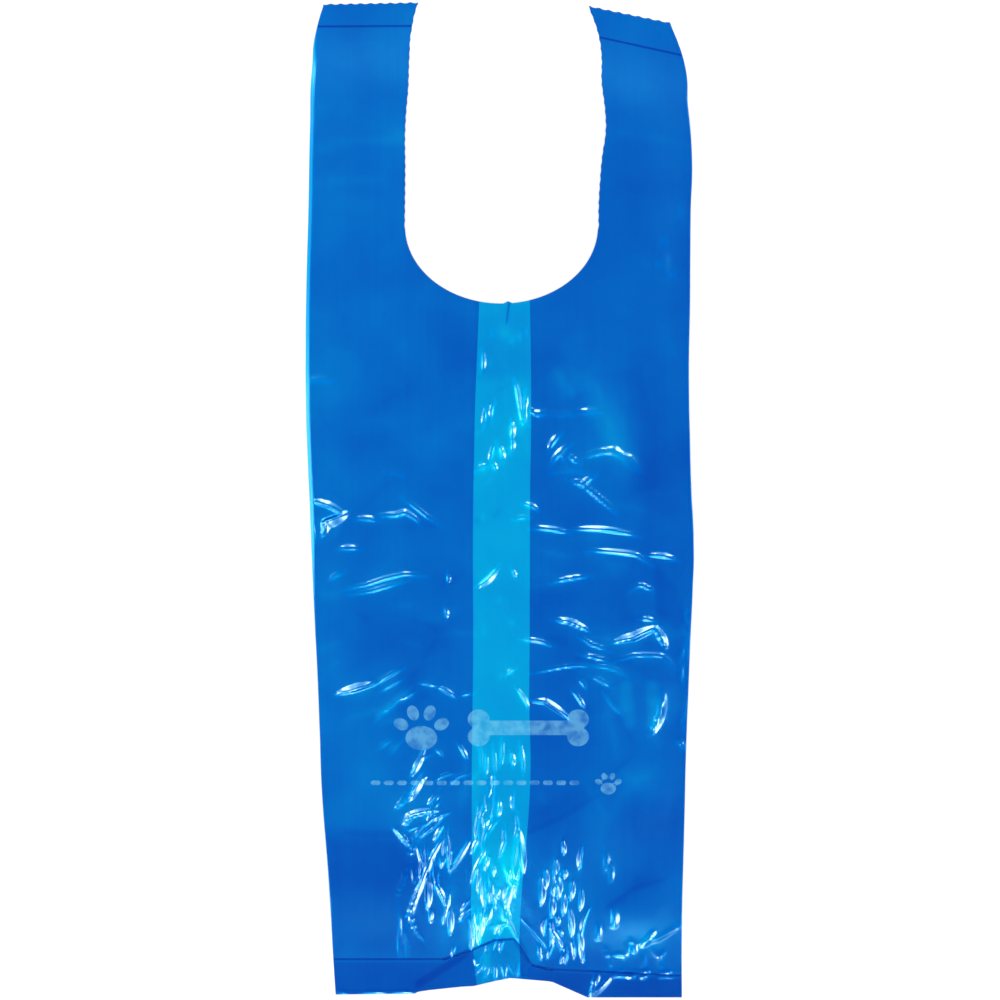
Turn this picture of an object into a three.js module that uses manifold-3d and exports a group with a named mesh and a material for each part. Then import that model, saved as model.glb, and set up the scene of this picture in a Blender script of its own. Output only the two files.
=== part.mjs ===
// A tie-handle waste bag of thin film, lying flat on its back.
// It is one tube of film with a tuck (gusset) in each side, welded across the base and across the
// tops of the handles, with a U cut out between the handles.
// Millimetres. +X to the right, +Y towards the handles, +Z up out of the front of the bag.
// The origin is in the middle of the bag's outline, on the surface that it lies on.
import * as THREE from "three";
import { ParametricGeometry } from "three/addons/geometries/ParametricGeometry.js";
import { mergeVertices } from "three/addons/utils/BufferGeometryUtils.js";
import Module from "manifold-3d";

// Outline of the flat bag
const bagLength = 330;
const bagWidth = 129;
const gussetSpacing = 19;

// Film. The real film is about 0.018 thick: the solid one is thick enough to be handled as a solid.
const filmThickness = 0.3;
const layerGap = 0.35;
const weldGap = 0.1;

// Cut between the handles
const cutWidth = 64;
const cutDepth = 100;
const cutRoundHeight = 25.6;
const cutOffset = 0.7;
const tagStubWidth = 1.6;
const tagStubHeight = 0.8;
const tagStubOffset = 2.3;

// Welds, and the film left beyond them
const weldWidth = 1;
const weldInset = 0.6;
const baseSkirt = 11;
const topSkirt = 7.6;
const pinchReach = 7;

// Pinked edge along the handle tops
const toothPitch = 3.3;
const toothDepth = 0.7;

// How the soft film sits
const stripeSag = 0.9;
const backPeek = 1.2;

// How far each outer fold swings in from the full width: share of the length from the base, mm
const leftFoldSway = [
  [0, 10.1],
  [0.1, 8.2],
  [0.3, 4.4],
  [0.5, 1.4],
  [0.65, 0.1],
  [0.8, 1],
  [0.94, 2.4],
  [1, 5.6],
];
const rightFoldSway = [
  [0, 4.1],
  [0.12, 3.6],
  [0.3, 1.9],
  [0.45, 0.1],
  [0.6, 1.6],
  [0.84, 0.8],
  [0.93, 2.8],
  [1, 8.4],
];

// How far each inner fold of the gussets leans out from its straight line: share of the length, mm
const leftGussetLean = [
  [0, -2.4],
  [0.15, -0.3],
  [0.5, -1],
  [0.7, -2.7],
  [1, -2.7],
];
const rightGussetLean = [
  [0, -2.5],
  [0.14, -1.6],
  [0.25, 0.2],
  [0.6, 0.8],
  [1, 0.5],
];

// Sideways lean of the two sides of the cut: share of the straight side from the bottom, mm outwards
const leftCutLean = [
  [0, 0],
  [0.45, -0.2],
  [0.75, -1.5],
  [0.9, -2.6],
  [1, -4.6],
];
const rightCutLean = [
  [0, 0],
  [0.25, 0.8],
  [0.48, 2.6],
  [0.68, 1.2],
  [0.85, 0.2],
  [1, -3.4],
];

// Lines across the bag: share of the half width from the middle, mm up from the lowest line
const baseEdgeRise = [
  [-1, 1],
  [-0.44, 1.2],
  [-0.32, 3],
  [-0.13, 3.8],
  [0.17, 8],
  [0.45, 0],
  [1, 0],
];
const baseWeldRise = [
  [-1, 1.6],
  [-0.29, 1.6],
  [-0.13, 4.8],
  [-0.03, 7.8],
  [0.08, 8.2],
  [0.16, -0.2],
  [0.3, -1.8],
  [1, -3.8],
];

// Lines across the handles: share of the half width from the middle, mm down from the highest line
const handleTopDrop = [
  [-1, 0.8],
  [-0.42, 0],
  [0.46, 1.3],
  [1, 8.3],
];

// Ridges of the crumpled front panel: middle x, middle y, half length, turn in degrees, height, width
const creases = [
  [-50, -4, 14, -8, 1.2, 3],
  [-34, -27, 16, 8, 1.7, 3],
  [-26, -6, 12, -14, 1, 2.6],
  [-36, -62, 14, 27, 1.6, 3],
  [-22, -72, 10, -22, 1.1, 2.6],
  [-28, -88, 9, 64, 1.8, 3],
  [-27, -104, 11, 12, 1.5, 3],
  [-22, -124, 15, 62, 1.8, 2.8],
  [-11, -116, 12, 48, 1.3, 2.6],
  [-24, -138, 9, -55, 1.1, 2.6],
  [2, -134, 10, 70, 1.2, 2.4],
  [18, -128, 15, 80, 1.9, 2.6],
  [28, -130, 14, 76, 1.5, 2.6],
  [38, -122, 10, 38, 1.1, 3],
  [24, -9, 15, -5, 1.2, 2.8],
  [42, -18, 15, -9, 1.2, 2.8],
  [28, -38, 13, -14, 1.8, 3],
  [48, -46, 10, 20, 2.2, 3.4],
  [36, -56, 16, -12, 1.5, 3],
  [46, -72, 11, 72, 1.3, 3],
  [34, 14, 16, -38, 1, 3.6],
  [28, 36, 18, -62, 0.9, 4],
  [50, -94, 11, 14, 1.1, 3.2],
];

// Fineness of the surface
const frontColumns = 26;
const backColumns = 7;
const leafColumns = 2;
const foldSteps = 2;
const flatRows = 12;
const crumpledRows = 22;
const pinchRows = 2;
const weldRows = 2;
const skirtRows = 2;
const curveSteps = 24;
const crumpledShare = 0.5;
const trimOverrun = 1.5;
const trimMargin = 3;
const cutTolerance = 0.003;

const wasm = await Module();
wasm.setup();

const halfWidth = bagWidth / 2;
const halfLength = bagLength / 2;
const looseStep = filmThickness + layerGap;
const weldedStep = filmThickness + weldGap;

// A smooth curve through pairs of place and value, as a function of the place.
function smoothCurve(points) {
  const places = points.map(([place]) => place);
  const values = points.map(([, value]) => value);
  const curve = new THREE.CubicInterpolant(places, values, 1);
  return (place) => curve.evaluate(place)[0];
}

// Straight stretches through pairs of place and value, as a function of the place.
function brokenLine(points) {
  const places = points.map(([place]) => place);
  const values = points.map(([, value]) => value);
  const line = new THREE.LinearInterpolant(places, values, 1);
  return (place) => line.evaluate(THREE.MathUtils.clamp(place, places[0], places.at(-1)))[0];
}

const leftSway = smoothCurve(leftFoldSway);
const rightSway = smoothCurve(rightFoldSway);
const leftLean = smoothCurve(leftGussetLean);
const rightLean = smoothCurve(rightGussetLean);
const edgeRise = brokenLine(baseEdgeRise);
const weldRise = brokenLine(baseWeldRise);
const topDrop = brokenLine(handleTopDrop);

// Outer and inner folds of the tube at a share of the length, as places across the bag.
function foldsAt(share) {
  const peek = backPeek * THREE.MathUtils.smoothstep(share, 0.35, 0.6);
  const left = leftSway(share) - halfWidth;
  return {
    leftOuter: left + peek,
    leftBackOuter: left,
    leftInner: -gussetSpacing / 2 - leftLean(share),
    rightInner: gussetSpacing / 2 + rightLean(share),
    rightOuter: halfWidth - rightSway(share),
  };
}

// Lines that run across the bag, as heights along it.
function baseEdgeY(x) {
  return -halfLength + edgeRise(x / halfWidth);
}

function baseWeldY(x) {
  return -halfLength + baseSkirt + weldRise(x / halfWidth);
}

function handleTopY(x) {
  return halfLength - topDrop(x / halfWidth);
}

function handleWeldY(x) {
  return handleTopY(x) - topSkirt;
}

// Shares of the length at the two welds, where the rows of the surface bend to follow them.
const baseWeldShare = baseSkirt / bagLength;
const handleWeldShare = 1 - topSkirt / bagLength;

// The place along the bag of a row, which follows the welds and edges where it is near them.
function rowY(share, x) {
  const { lerp, inverseLerp } = THREE.MathUtils;
  if (share < baseWeldShare) {
    return lerp(baseEdgeY(x), baseWeldY(x), share / baseWeldShare);
  }
  if (share > handleWeldShare) {
    const rawEnd = handleTopY(x) + trimOverrun;
    return lerp(handleWeldY(x), rawEnd, inverseLerp(handleWeldShare, 1, share));
  }
  return lerp(baseWeldY(x), handleWeldY(x), inverseLerp(baseWeldShare, handleWeldShare, share));
}

// How loose the layers lie: 0 in a weld, 1 away from it.
function looseness(x, y) {
  const fromBase = Math.abs(y - baseWeldY(x));
  const fromTop = Math.abs(y - handleWeldY(x));
  return THREE.MathUtils.smoothstep(Math.min(fromBase, fromTop), weldWidth, pinchReach);
}

// Height of the ridges that stand out of the front panel.
function creaseHeight(x, y) {
  let height = 0;
  for (const [middleX, middleY, halfSpan, turn, ridgeHeight, ridgeWidth] of creases) {
    const angle = THREE.MathUtils.degToRad(turn);
    const along = (x - middleX) * Math.cos(angle) + (y - middleY) * Math.sin(angle);
    const across = (y - middleY) * Math.cos(angle) - (x - middleX) * Math.sin(angle);
    const profile = Math.exp(-((across / ridgeWidth) ** 2) - (along / halfSpan) ** 4);
    height = Math.max(height, ridgeHeight * profile);
  }
  return height;
}

// Height of the front panel over its resting height: up at ridges, down between the gussets.
function frontLift(x, y, folds) {
  const { smoothstep } = THREE.MathUtils;
  const fromSide = Math.min(x - folds.leftOuter, folds.rightOuter - x);
  const sideFade = smoothstep(fromSide, 0, pinchReach);
  const intoStripe = Math.min(x - folds.leftInner, folds.rightInner - x);
  const sag = stripeSag * smoothstep(intoStripe, 0, pinchReach / 2);
  return creaseHeight(x, y) * sideFade - sag;
}

// The section of the tube, once round from the left of the front panel, as a list of stations.
// A panel station gives its layer and its share of the way across it, from fold to fold.
// A fold station gives the two layers it joins and the angle round the fold.
function panelStations(layer, from, to, columns, facing) {
  return Array.from({ length: columns }, (_, i) => ({ layer, from, to, across: i / columns, facing }));
}

function foldStations(fold, upper, lower, side, bulge, goesDown) {
  return Array.from({ length: foldSteps }, (_, i) => {
    const turn = (i / foldSteps - 0.5) * Math.PI;
    return { fold, upper, lower, side, bulge, angle: goesDown ? -turn : turn };
  });
}

const backLayer = 0;
const lowerLeaf = 1;
const upperLeaf = 2;
const frontLayer = 3;
const toRight = 1;
const toLeft = -1;
const outwards = 1;
const inwards = -1;

const stations = [
  ...panelStations(frontLayer, "leftOuter", "rightOuter", frontColumns, 1),
  ...foldStations("rightOuter", frontLayer, upperLeaf, toRight, outwards, true),
  ...panelStations(upperLeaf, "rightOuter", "rightInner", leafColumns, -1),
  ...foldStations("rightInner", upperLeaf, lowerLeaf, toLeft, inwards, true),
  ...panelStations(lowerLeaf, "rightInner", "rightOuter", leafColumns, 1),
  ...foldStations("rightOuter", lowerLeaf, backLayer, toRight, outwards, true),
  ...panelStations(backLayer, "rightOuter", "leftBackOuter", backColumns, -1),
  ...foldStations("leftBackOuter", lowerLeaf, backLayer, toLeft, outwards, false),
  ...panelStations(lowerLeaf, "leftBackOuter", "leftInner", leafColumns, 1),
  ...foldStations("leftInner", upperLeaf, lowerLeaf, toRight, inwards, false),
  ...panelStations(upperLeaf, "leftInner", "leftOuter", leafColumns, -1),
  ...foldStations("leftOuter", frontLayer, upperLeaf, toLeft, outwards, false),
];

// A point of the film at a station and a share of the length.
// The side is +1 on the outside of the tube and -1 on its inside.
function filmPoint(station, share, side, target) {
  const folds = foldsAt(share);
  const half = filmThickness / 2;
  if (station.fold) {
    const edge = folds[station.fold];
    const y = rowY(share, edge);
    const step = THREE.MathUtils.lerp(weldedStep, looseStep, looseness(edge, y));
    const radius = step / 2;
    const reach = radius + side * station.bulge * half;
    const centreX = edge - station.side * (radius + half);
    const centreZ = half + step * (station.upper + station.lower) * 0.5;
    target.set(
      centreX + station.side * reach * Math.cos(station.angle),
      y,
      centreZ + reach * Math.sin(station.angle),
    );
    return;
  }
  const inset = looseStep / 2 + half;
  const start = folds[station.from] + insetSign(station.from) * inset;
  const end = folds[station.to] + insetSign(station.to) * inset;
  const x = THREE.MathUtils.lerp(start, end, station.across);
  const y = rowY(share, x);
  const loose = looseness(x, y);
  const step = THREE.MathUtils.lerp(weldedStep, looseStep, loose);
  const lift = station.layer === frontLayer ? frontLift(x, y, folds) * loose : 0;
  target.set(x, y, half + step * station.layer + lift + side * station.facing * half);
}

// The direction from a fold towards the film that leaves it.
function insetSign(fold) {
  return fold === "leftOuter" || fold === "leftBackOuter" || fold === "rightInner" ? 1 : -1;
}

// Shares of the length at the rows of the surface, from the base edge to the handle tops.
function rowShares() {
  const flat = weldWidth / bagLength;
  const reach = pinchReach / bagLength;
  const stretches = [
    [0, baseWeldShare - flat, skirtRows],
    [baseWeldShare - flat, baseWeldShare + flat, weldRows],
    [baseWeldShare + flat, baseWeldShare + reach, pinchRows],
    [baseWeldShare + reach, crumpledShare, crumpledRows],
    [crumpledShare, handleWeldShare - reach, flatRows],
    [handleWeldShare - reach, handleWeldShare - flat, pinchRows],
    [handleWeldShare - flat, handleWeldShare + flat, weldRows],
    [handleWeldShare + flat, 1, skirtRows],
  ];
  const shares = stretches.flatMap(([from, to, count]) =>
    Array.from({ length: count }, (_, i) => THREE.MathUtils.lerp(from, to, i / count)),
  );
  return [...shares, 1];
}

// The tube of film as one closed surface: up its outside, over the rim and down its inside.
function filmTube() {
  const rows = rowShares();
  const turns = 2 * rows.length;
  const surface = (u, v, target) => {
    const station = stations[Math.round(u * stations.length) % stations.length];
    const turn = Math.round(v * turns) % turns;
    const outside = turn < rows.length;
    const row = outside ? turn : turns - 1 - turn;
    filmPoint(station, rows[row], outside ? 1 : -1, target);
  };
  return new ParametricGeometry(surface, stations.length, turns);
}

// A weld: a narrow band across all layers, along a line that runs across the bag in straight stretches.
function weldBand(lineY, corners, share) {
  const { leftOuter, rightOuter } = foldsAt(share);
  const from = leftOuter + weldInset;
  const to = rightOuter - weldInset;
  const bends = corners.map(([place]) => place * halfWidth).filter((x) => x > from && x < to);
  const xs = [from, ...bends, to];
  const lower = xs.map((x) => new THREE.Vector2(x, lineY(x) - weldWidth / 2));
  const upper = xs.map((x) => new THREE.Vector2(x, lineY(x) + weldWidth / 2));
  const band = new THREE.Shape([...lower, ...upper.reverse()]);
  const depth = weldedStep * frontLayer;
  const geometry = new THREE.ExtrudeGeometry(band, { depth, bevelEnabled: false });
  return geometry.translate(0, 0, filmThickness / 2);
}

// The U between the handles, with the stub of its torn-off tag at the bottom.
function handleCut() {
  const leftLeanAt = smoothCurve(leftCutLean);
  const rightLeanAt = smoothCurve(rightCutLean);
  const bottom = halfLength - cutDepth;
  const sideFoot = bottom + cutRoundHeight;
  const sideHeight = halfLength + trimMargin - sideFoot;
  const shares = Array.from({ length: curveSteps / 2 + 1 }, (_, i) => (2 * i) / curveSteps);
  const leftSide = shares.map(
    (share) => new THREE.Vector2(
      cutOffset - cutWidth / 2 - leftLeanAt(share),
      sideFoot + share * sideHeight,
    ),
  );
  const rightSide = shares.map(
    (share) => new THREE.Vector2(
      cutOffset + cutWidth / 2 + rightLeanAt(share),
      sideFoot + share * sideHeight,
    ),
  );
  const round = new THREE.EllipseCurve(
    cutOffset, sideFoot, cutWidth / 2, cutRoundHeight, Math.PI, 2 * Math.PI,
  );
  const roundPoints = round.getPoints(curveSteps).slice(1, -1);
  const stub = tagStub(bottom);
  const before = roundPoints.filter((point) => point.x < stub[0].x);
  const after = roundPoints.filter((point) => point.x > stub.at(-1).x);
  const outline = new THREE.Shape([
    ...leftSide.reverse(),
    ...before,
    ...stub,
    ...after,
    ...rightSide,
  ]);
  return throughAllLayers(outline);
}

// The outline of the stub that the tag left at the bottom of the cut.
function tagStub(bottom) {
  const middle = cutOffset + tagStubOffset;
  return [
    new THREE.Vector2(middle - tagStubWidth / 2, bottom),
    new THREE.Vector2(middle - tagStubWidth / 4, bottom + tagStubHeight),
    new THREE.Vector2(middle + tagStubWidth / 4, bottom + tagStubHeight),
    new THREE.Vector2(middle + tagStubWidth / 2, bottom),
  ];
}

// What is trimmed off above the handles, with the teeth that the cutter leaves.
function topTrim() {
  const teeth = Math.ceil(bagWidth / toothPitch);
  const zigzag = Array.from({ length: 2 * teeth + 1 }, (_, i) => {
    const x = ((i - teeth) * toothPitch) / 2;
    return new THREE.Vector2(x, handleTopY(x) - (i % 2 ? toothDepth : 0));
  });
  const reach = (teeth * toothPitch) / 2;
  const above = halfLength + trimMargin;
  const outline = new THREE.Shape([
    ...zigzag,
    new THREE.Vector2(reach, above),
    new THREE.Vector2(-reach, above),
  ]);
  return throughAllLayers(outline);
}

// A cutter of an outline, deep enough to pass through the whole stack of film.
function throughAllLayers(outline) {
  const depth = 4 * looseStep + 2 * trimMargin;
  const geometry = new THREE.ExtrudeGeometry(outline, { depth, bevelEnabled: false });
  return geometry.translate(0, 0, -trimMargin);
}

// A closed geometry as a solid for joining and cutting.
function solidOf(geometry) {
  geometry.deleteAttribute("normal");
  geometry.deleteAttribute("uv");
  const merged = mergeVertices(geometry, 1e-4);
  return new wasm.Manifold(
    new wasm.Mesh({
      numProp: 3,
      vertProperties: new Float32Array(merged.attributes.position.array),
      triVerts: new Uint32Array(merged.index.array),
      tolerance: cutTolerance,
    }),
  );
}

function geometryOf(solid) {
  const mesh = solid.getMesh();
  const geometry = new THREE.BufferGeometry();
  geometry.setAttribute("position", new THREE.BufferAttribute(mesh.vertProperties, 3));
  geometry.setIndex(new THREE.BufferAttribute(mesh.triVerts, 1));
  geometry.computeVertexNormals();
  return geometry;
}

// The whole bag: tube, welds, then the cuts, as the real one is made.
function bagFilm() {
  const solid = solidOf(filmTube())
    .add(solidOf(weldBand(baseWeldY, baseWeldRise, baseWeldShare)))
    .add(solidOf(weldBand(handleWeldY, handleTopDrop, handleWeldShare)))
    .subtract(solidOf(handleCut()))
    .subtract(solidOf(topTrim()));
  const material = new THREE.MeshStandardMaterial({
    color: new THREE.Color().setRGB(0, 0.124, 0.533, THREE.LinearSRGBColorSpace),
    roughness: 0.25,
    metalness: 0,
  });
  const mesh = new THREE.Mesh(geometryOf(solid), material);
  mesh.name = "bag_film";
  return mesh;
}

// The bag with its origin in the middle of its outline, on the surface that it lies on.
function laidBag() {
  const film = bagFilm();
  const box = new THREE.Box3().setFromObject(film);
  const middle = box.getCenter(new THREE.Vector3());
  film.position.set(-middle.x, -middle.y, -box.min.z);
  const bag = new THREE.Group();
  bag.add(film);
  return bag;
}

export default laidBag();
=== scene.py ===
"""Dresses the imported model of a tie-handle dog waste bag that lies flat on a pale floor.

The bag is one tube of thin blue film, tucked in at both sides, welded across the base and across
the handle tops, with a U cut out between the handles. The film is laid as one flat grid, folded
into the tube, cut, and then crumpled. Lengths are in millimetres until the mesh is finished. x runs
across the bag, y along it from the base to the handles, with 0, 0 in its middle.
"""

import logging
import math
from dataclasses import dataclass, field
from enum import Enum
from typing import Callable, Sequence, Union

import bpy
import numpy as np
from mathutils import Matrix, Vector


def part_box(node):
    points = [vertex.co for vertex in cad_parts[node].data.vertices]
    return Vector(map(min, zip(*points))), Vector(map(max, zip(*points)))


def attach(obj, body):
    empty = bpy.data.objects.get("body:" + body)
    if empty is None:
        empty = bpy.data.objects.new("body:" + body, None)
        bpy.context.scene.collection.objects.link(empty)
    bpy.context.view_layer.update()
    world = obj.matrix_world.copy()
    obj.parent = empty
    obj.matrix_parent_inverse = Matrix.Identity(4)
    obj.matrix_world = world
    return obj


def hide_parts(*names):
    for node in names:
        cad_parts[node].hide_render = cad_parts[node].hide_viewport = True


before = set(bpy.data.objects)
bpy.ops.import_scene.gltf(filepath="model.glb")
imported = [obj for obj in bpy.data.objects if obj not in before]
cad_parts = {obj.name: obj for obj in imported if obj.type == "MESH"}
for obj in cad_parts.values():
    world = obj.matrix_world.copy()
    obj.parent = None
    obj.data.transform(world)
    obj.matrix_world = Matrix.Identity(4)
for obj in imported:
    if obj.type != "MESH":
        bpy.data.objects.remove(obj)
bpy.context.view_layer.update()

MM = 0.001
TINY = 1e-9
FLAT_TOP = 4
LOG = logging.getLogger("dog_waste_bag")

Array = np.ndarray
Pair = tuple[float, float]
Points = Sequence[Pair]
Curve = Callable[[Array], Array]


def smooth_curve(points: Points) -> Curve:
    """Make a smooth curve through points.

    Args:
        points: Pairs of place and value, in rising order of place.

    Returns:
        A function of places that gives the curve's values.
    """
    places, values = np.array(points, float).T
    slopes = np.gradient(values, places)

    def curve(at: Array) -> Array:
        """Give the curve's value at each place.

        Args:
            at: The places.

        Returns:
            The values, those of the ends for places past them.
        """
        at = np.clip(at, places[0], places[-1])
        i = np.clip(np.searchsorted(places, at) - 1, 0, len(places) - 2)
        span = places[i + 1] - places[i]
        share = (at - places[i]) / span
        rise = smooth_step(share)
        start = values[i] + slopes[i] * span * share
        end = values[i + 1] - slopes[i + 1] * span * (1 - share)
        return start * (1 - rise) + end * rise

    return curve


def broken_line(points: Points) -> Curve:
    """Make a line of straight stretches through points.

    Args:
        points: Pairs of place and value, in rising order of place.

    Returns:
        A function of places that gives the line's values.
    """
    places, values = np.array(points, float).T
    return lambda at: np.interp(at, places, values)


def smooth_step(share: Array) -> Array:
    """Turn shares from 0 to 1 into shares that start and end gently."""
    return share * share * (3 - 2 * share)


def ease(value: Array, low: float, high: float) -> Array:
    """Rise smoothly from 0 at low to 1 at high."""
    return smooth_step(np.clip((value - low) / (high - low), 0, 1))


def measure_path(x: Array, y: Array, path: Points) -> tuple[Array, Array, Array]:
    """Measure points against a path.

    Args:
        x: Places across the bag.
        y: Places along the bag.
        path: Corners of the path.

    Returns:
        The distance of each point from the path, the share of the path's length at which it is
        nearest, and 1 or -1 for the left or right side of the path.
    """
    corners = np.array(path, float)
    steps = np.linalg.norm(np.diff(corners, axis=0), axis=1)
    starts = np.concatenate([[0.0], np.cumsum(steps)])
    best = np.full(x.shape, np.inf)
    share = np.zeros(x.shape)
    side = np.ones(x.shape)
    for i, step in enumerate(steps):
        right, up = x - corners[i][0], y - corners[i][1]
        dx, dy = (corners[i + 1] - corners[i]) / max(step, TINY)
        along = np.clip(right * dx + up * dy, 0, step)
        gap = np.hypot(right - along * dx, up - along * dy)
        nearer = gap < best
        best = np.where(nearer, gap, best)
        share = np.where(nearer, (starts[i] + along) / starts[-1], share)
        side = np.where(nearer, np.sign(up * dx - right * dy), side)
    return best, share, side


def inside(x: Array, y: Array, corners: Points) -> Array:
    """Say which points lie inside a closed outline.

    Args:
        x: Places across the bag.
        y: Places along the bag.
        corners: Corners of the outline.

    Returns:
        True for each point inside.
    """
    found = np.zeros(x.shape, bool)
    for (ax, ay), (bx, by) in zip(corners, (*corners[1:], corners[0])):
        crossed = (ay > y) != (by > y)
        reach = ax + (bx - ax) * (y - ay) / (by - ay if by != ay else TINY)
        found ^= crossed & (x < reach)
    return found


class Layer(Enum):
    """The four layers of the flat bag, from the floor up."""

    BACK = 0
    LOWER_LEAF = 1
    UPPER_LEAF = 2
    FRONT = 3


@dataclass(frozen=True)
class CreaseForm:
    """How a crease's two flanks and the painted sheen about it follow from its width and height.

    Attributes:
        flank_share: Width of the gentle flank for each millimetre of the crease's width.
        growth: How much wider flanks are along the bag, to suit its coarser mesh.
        least_flank: Least width of the gentle flank.
        slimness: Least length of a crease for each millimetre of that width.
        steep_flank: Width of the steep flank.
        end_share: How far a crease runs on past its path, as a share of the flank's width.
        end_slope: The gentle flank's slope at the ends, as a share of its slope in the middle.
        faint_slope: The gentle flank's slope where the height is almost 0.
        clear_slope: Its slope from clear_height upwards.
        clear_height: Height from which a crease is as clear as it can be.
        crest: How near its line a crease keeps its glint on both sides.
        dull_reach: How far from its line the steep side shows no glint.
        flat_height: Relief below which the film beside a crease still counts as flat.
        soft_width: Width from which a crease only paints a paler sheen on the film.
        soft_height: Height up to which it only does that.
        sheen_reach: How far the painted sheen reaches for each millimetre of the crease's width.
        sheen_box: Where the painted sheen is cut off, in times that reach.
        end_sheen: The painted sheen at the ends, as a share of the sheen in the middle.
    """

    flank_share: float = 1.5
    growth: Points = ((-60.0, 1.0), (0.0, 1.35))
    least_flank: float = 1.0
    slimness: float = 3.0
    steep_flank: float = 0.45
    end_share: float = 0.6
    end_slope: float = 0.6
    faint_slope: float = 0.2
    clear_slope: float = 0.42
    clear_height: float = 0.5
    crest: float = 0.05
    dull_reach: float = 1.0
    flat_height: float = 0.02
    soft_width: float = 1.9
    soft_height: float = 0.19
    sheen_reach: float = 1.6
    sheen_box: float = 3.0
    end_sheen: float = 0.25

    def growth_at(self, y: float) -> float:
        """Give how much wider flanks are at a place along the bag, where the mesh is coarser."""
        return float(broken_line(self.growth)(y))

    def slope(self, height: float) -> float:
        """Give the gentle flank's slope for a crease of some height."""
        rise = self.clear_slope - self.faint_slope
        return self.faint_slope + rise * min(1, abs(height) / self.clear_height)


FORM = CreaseForm()


@dataclass(frozen=True)
class Crease:
    """A fold in the film, gentle on one side, steep on the other, and thin at both ends.

    Its height only says how clearly it shows. Below zero, its gentle side is the right one. A broad
    or very low crease leaves the film flat and only paints a paler sheen on it.
    """

    path: Points
    height: float
    width: float

    def near(self, x: Array, y: Array, reach: float) -> Array:
        """Find the points in the box around the path.

        Args:
            x: Places across the bag.
            y: Places along the bag.
            reach: How far the box reaches past the path.

        Returns:
            True for each point in the box.
        """
        corners = np.array(self.path, float)
        low, high = corners.min(0) - reach, corners.max(0) + reach
        return (x > low[0]) & (x < high[0]) & (y > low[1]) & (y < high[1])

    def lay(self, x: Array, y: Array, relief: Array, dull: Array) -> None:
        """Lay the fold over the film.

        Args:
            x: Places across the bag.
            y: Places along the bag.
            relief: Heights of the film so far, which are raised where the fold is higher.
            dull: 1 where the film shows no glint, which is set on the fold's steep side.
        """
        corners = np.array(self.path, float)
        length = np.linalg.norm(np.diff(corners, axis=0), axis=1).sum()
        growth = FORM.growth_at(corners[0][1])
        wide = min(FORM.flank_share * self.width * growth, length / FORM.slimness)
        wide = max(wide, FORM.least_flank * growth)
        near = self.near(x, y, wide + FORM.dull_reach)
        sharp = self.width < FORM.soft_width and abs(self.height) > FORM.soft_height
        if not sharp or not near.any():
            return
        start, end = corners[0] - corners[1], corners[-1] - corners[-2]
        corners[0] += start / np.linalg.norm(start) * FORM.end_share * wide
        corners[-1] += end / np.linalg.norm(end) * FORM.end_share * wide
        gap, share, side = measure_path(x[near], y[near], corners)
        bulge = 1 - (2 * share - 1) ** 2
        flank = wide * np.sqrt(bulge)
        slope = FORM.slope(self.height)
        gentle = slope * (FORM.end_slope + (1 - FORM.end_slope) * bulge) * np.maximum(flank - gap, 0)
        steep = slope * flank * np.maximum(1 - gap / (FORM.steep_flank * growth), 0)
        on_gentle = side * self.height > 0
        rise = np.where(on_gentle, gentle, steep)
        higher = rise > relief[near]
        beside = (gap > FORM.crest) & (gap < FORM.dull_reach * growth)
        dulled = ~on_gentle & beside & (relief[near] < FORM.flat_height)
        relief[near] = np.where(higher, rise, relief[near])
        dull[near] = np.where(higher & on_gentle, 0.0, np.where(dulled, 1.0, dull[near]))

    def glow(self, x: Array, y: Array) -> Array:
        """Give the painted sheen about the fold, which makes the film paler.

        Args:
            x: Places across the bag.
            y: Places along the bag.

        Returns:
            The painted sheen at each point, which grows with the fold's height.
        """
        glow = np.zeros(x.shape)
        reach = FORM.sheen_reach * self.width
        near = self.near(x, y, FORM.sheen_box * reach)
        if near.any():
            gap, share, _ = measure_path(x[near], y[near], self.path)
            taper = FORM.end_sheen + (1 - FORM.end_sheen) * (1 - (2 * share - 1) ** FLAT_TOP)
            # Painted sheen: the film's colour is made paler near the fold.
            glow[near] = self.height * np.exp(-gap / reach) * taper
        return glow


def creases(*rows: tuple) -> list[Crease]:
    """Make creases from rows of height, width and the corners of a path."""
    return [Crease(path, height, width) for height, width, *path in rows]


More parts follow.
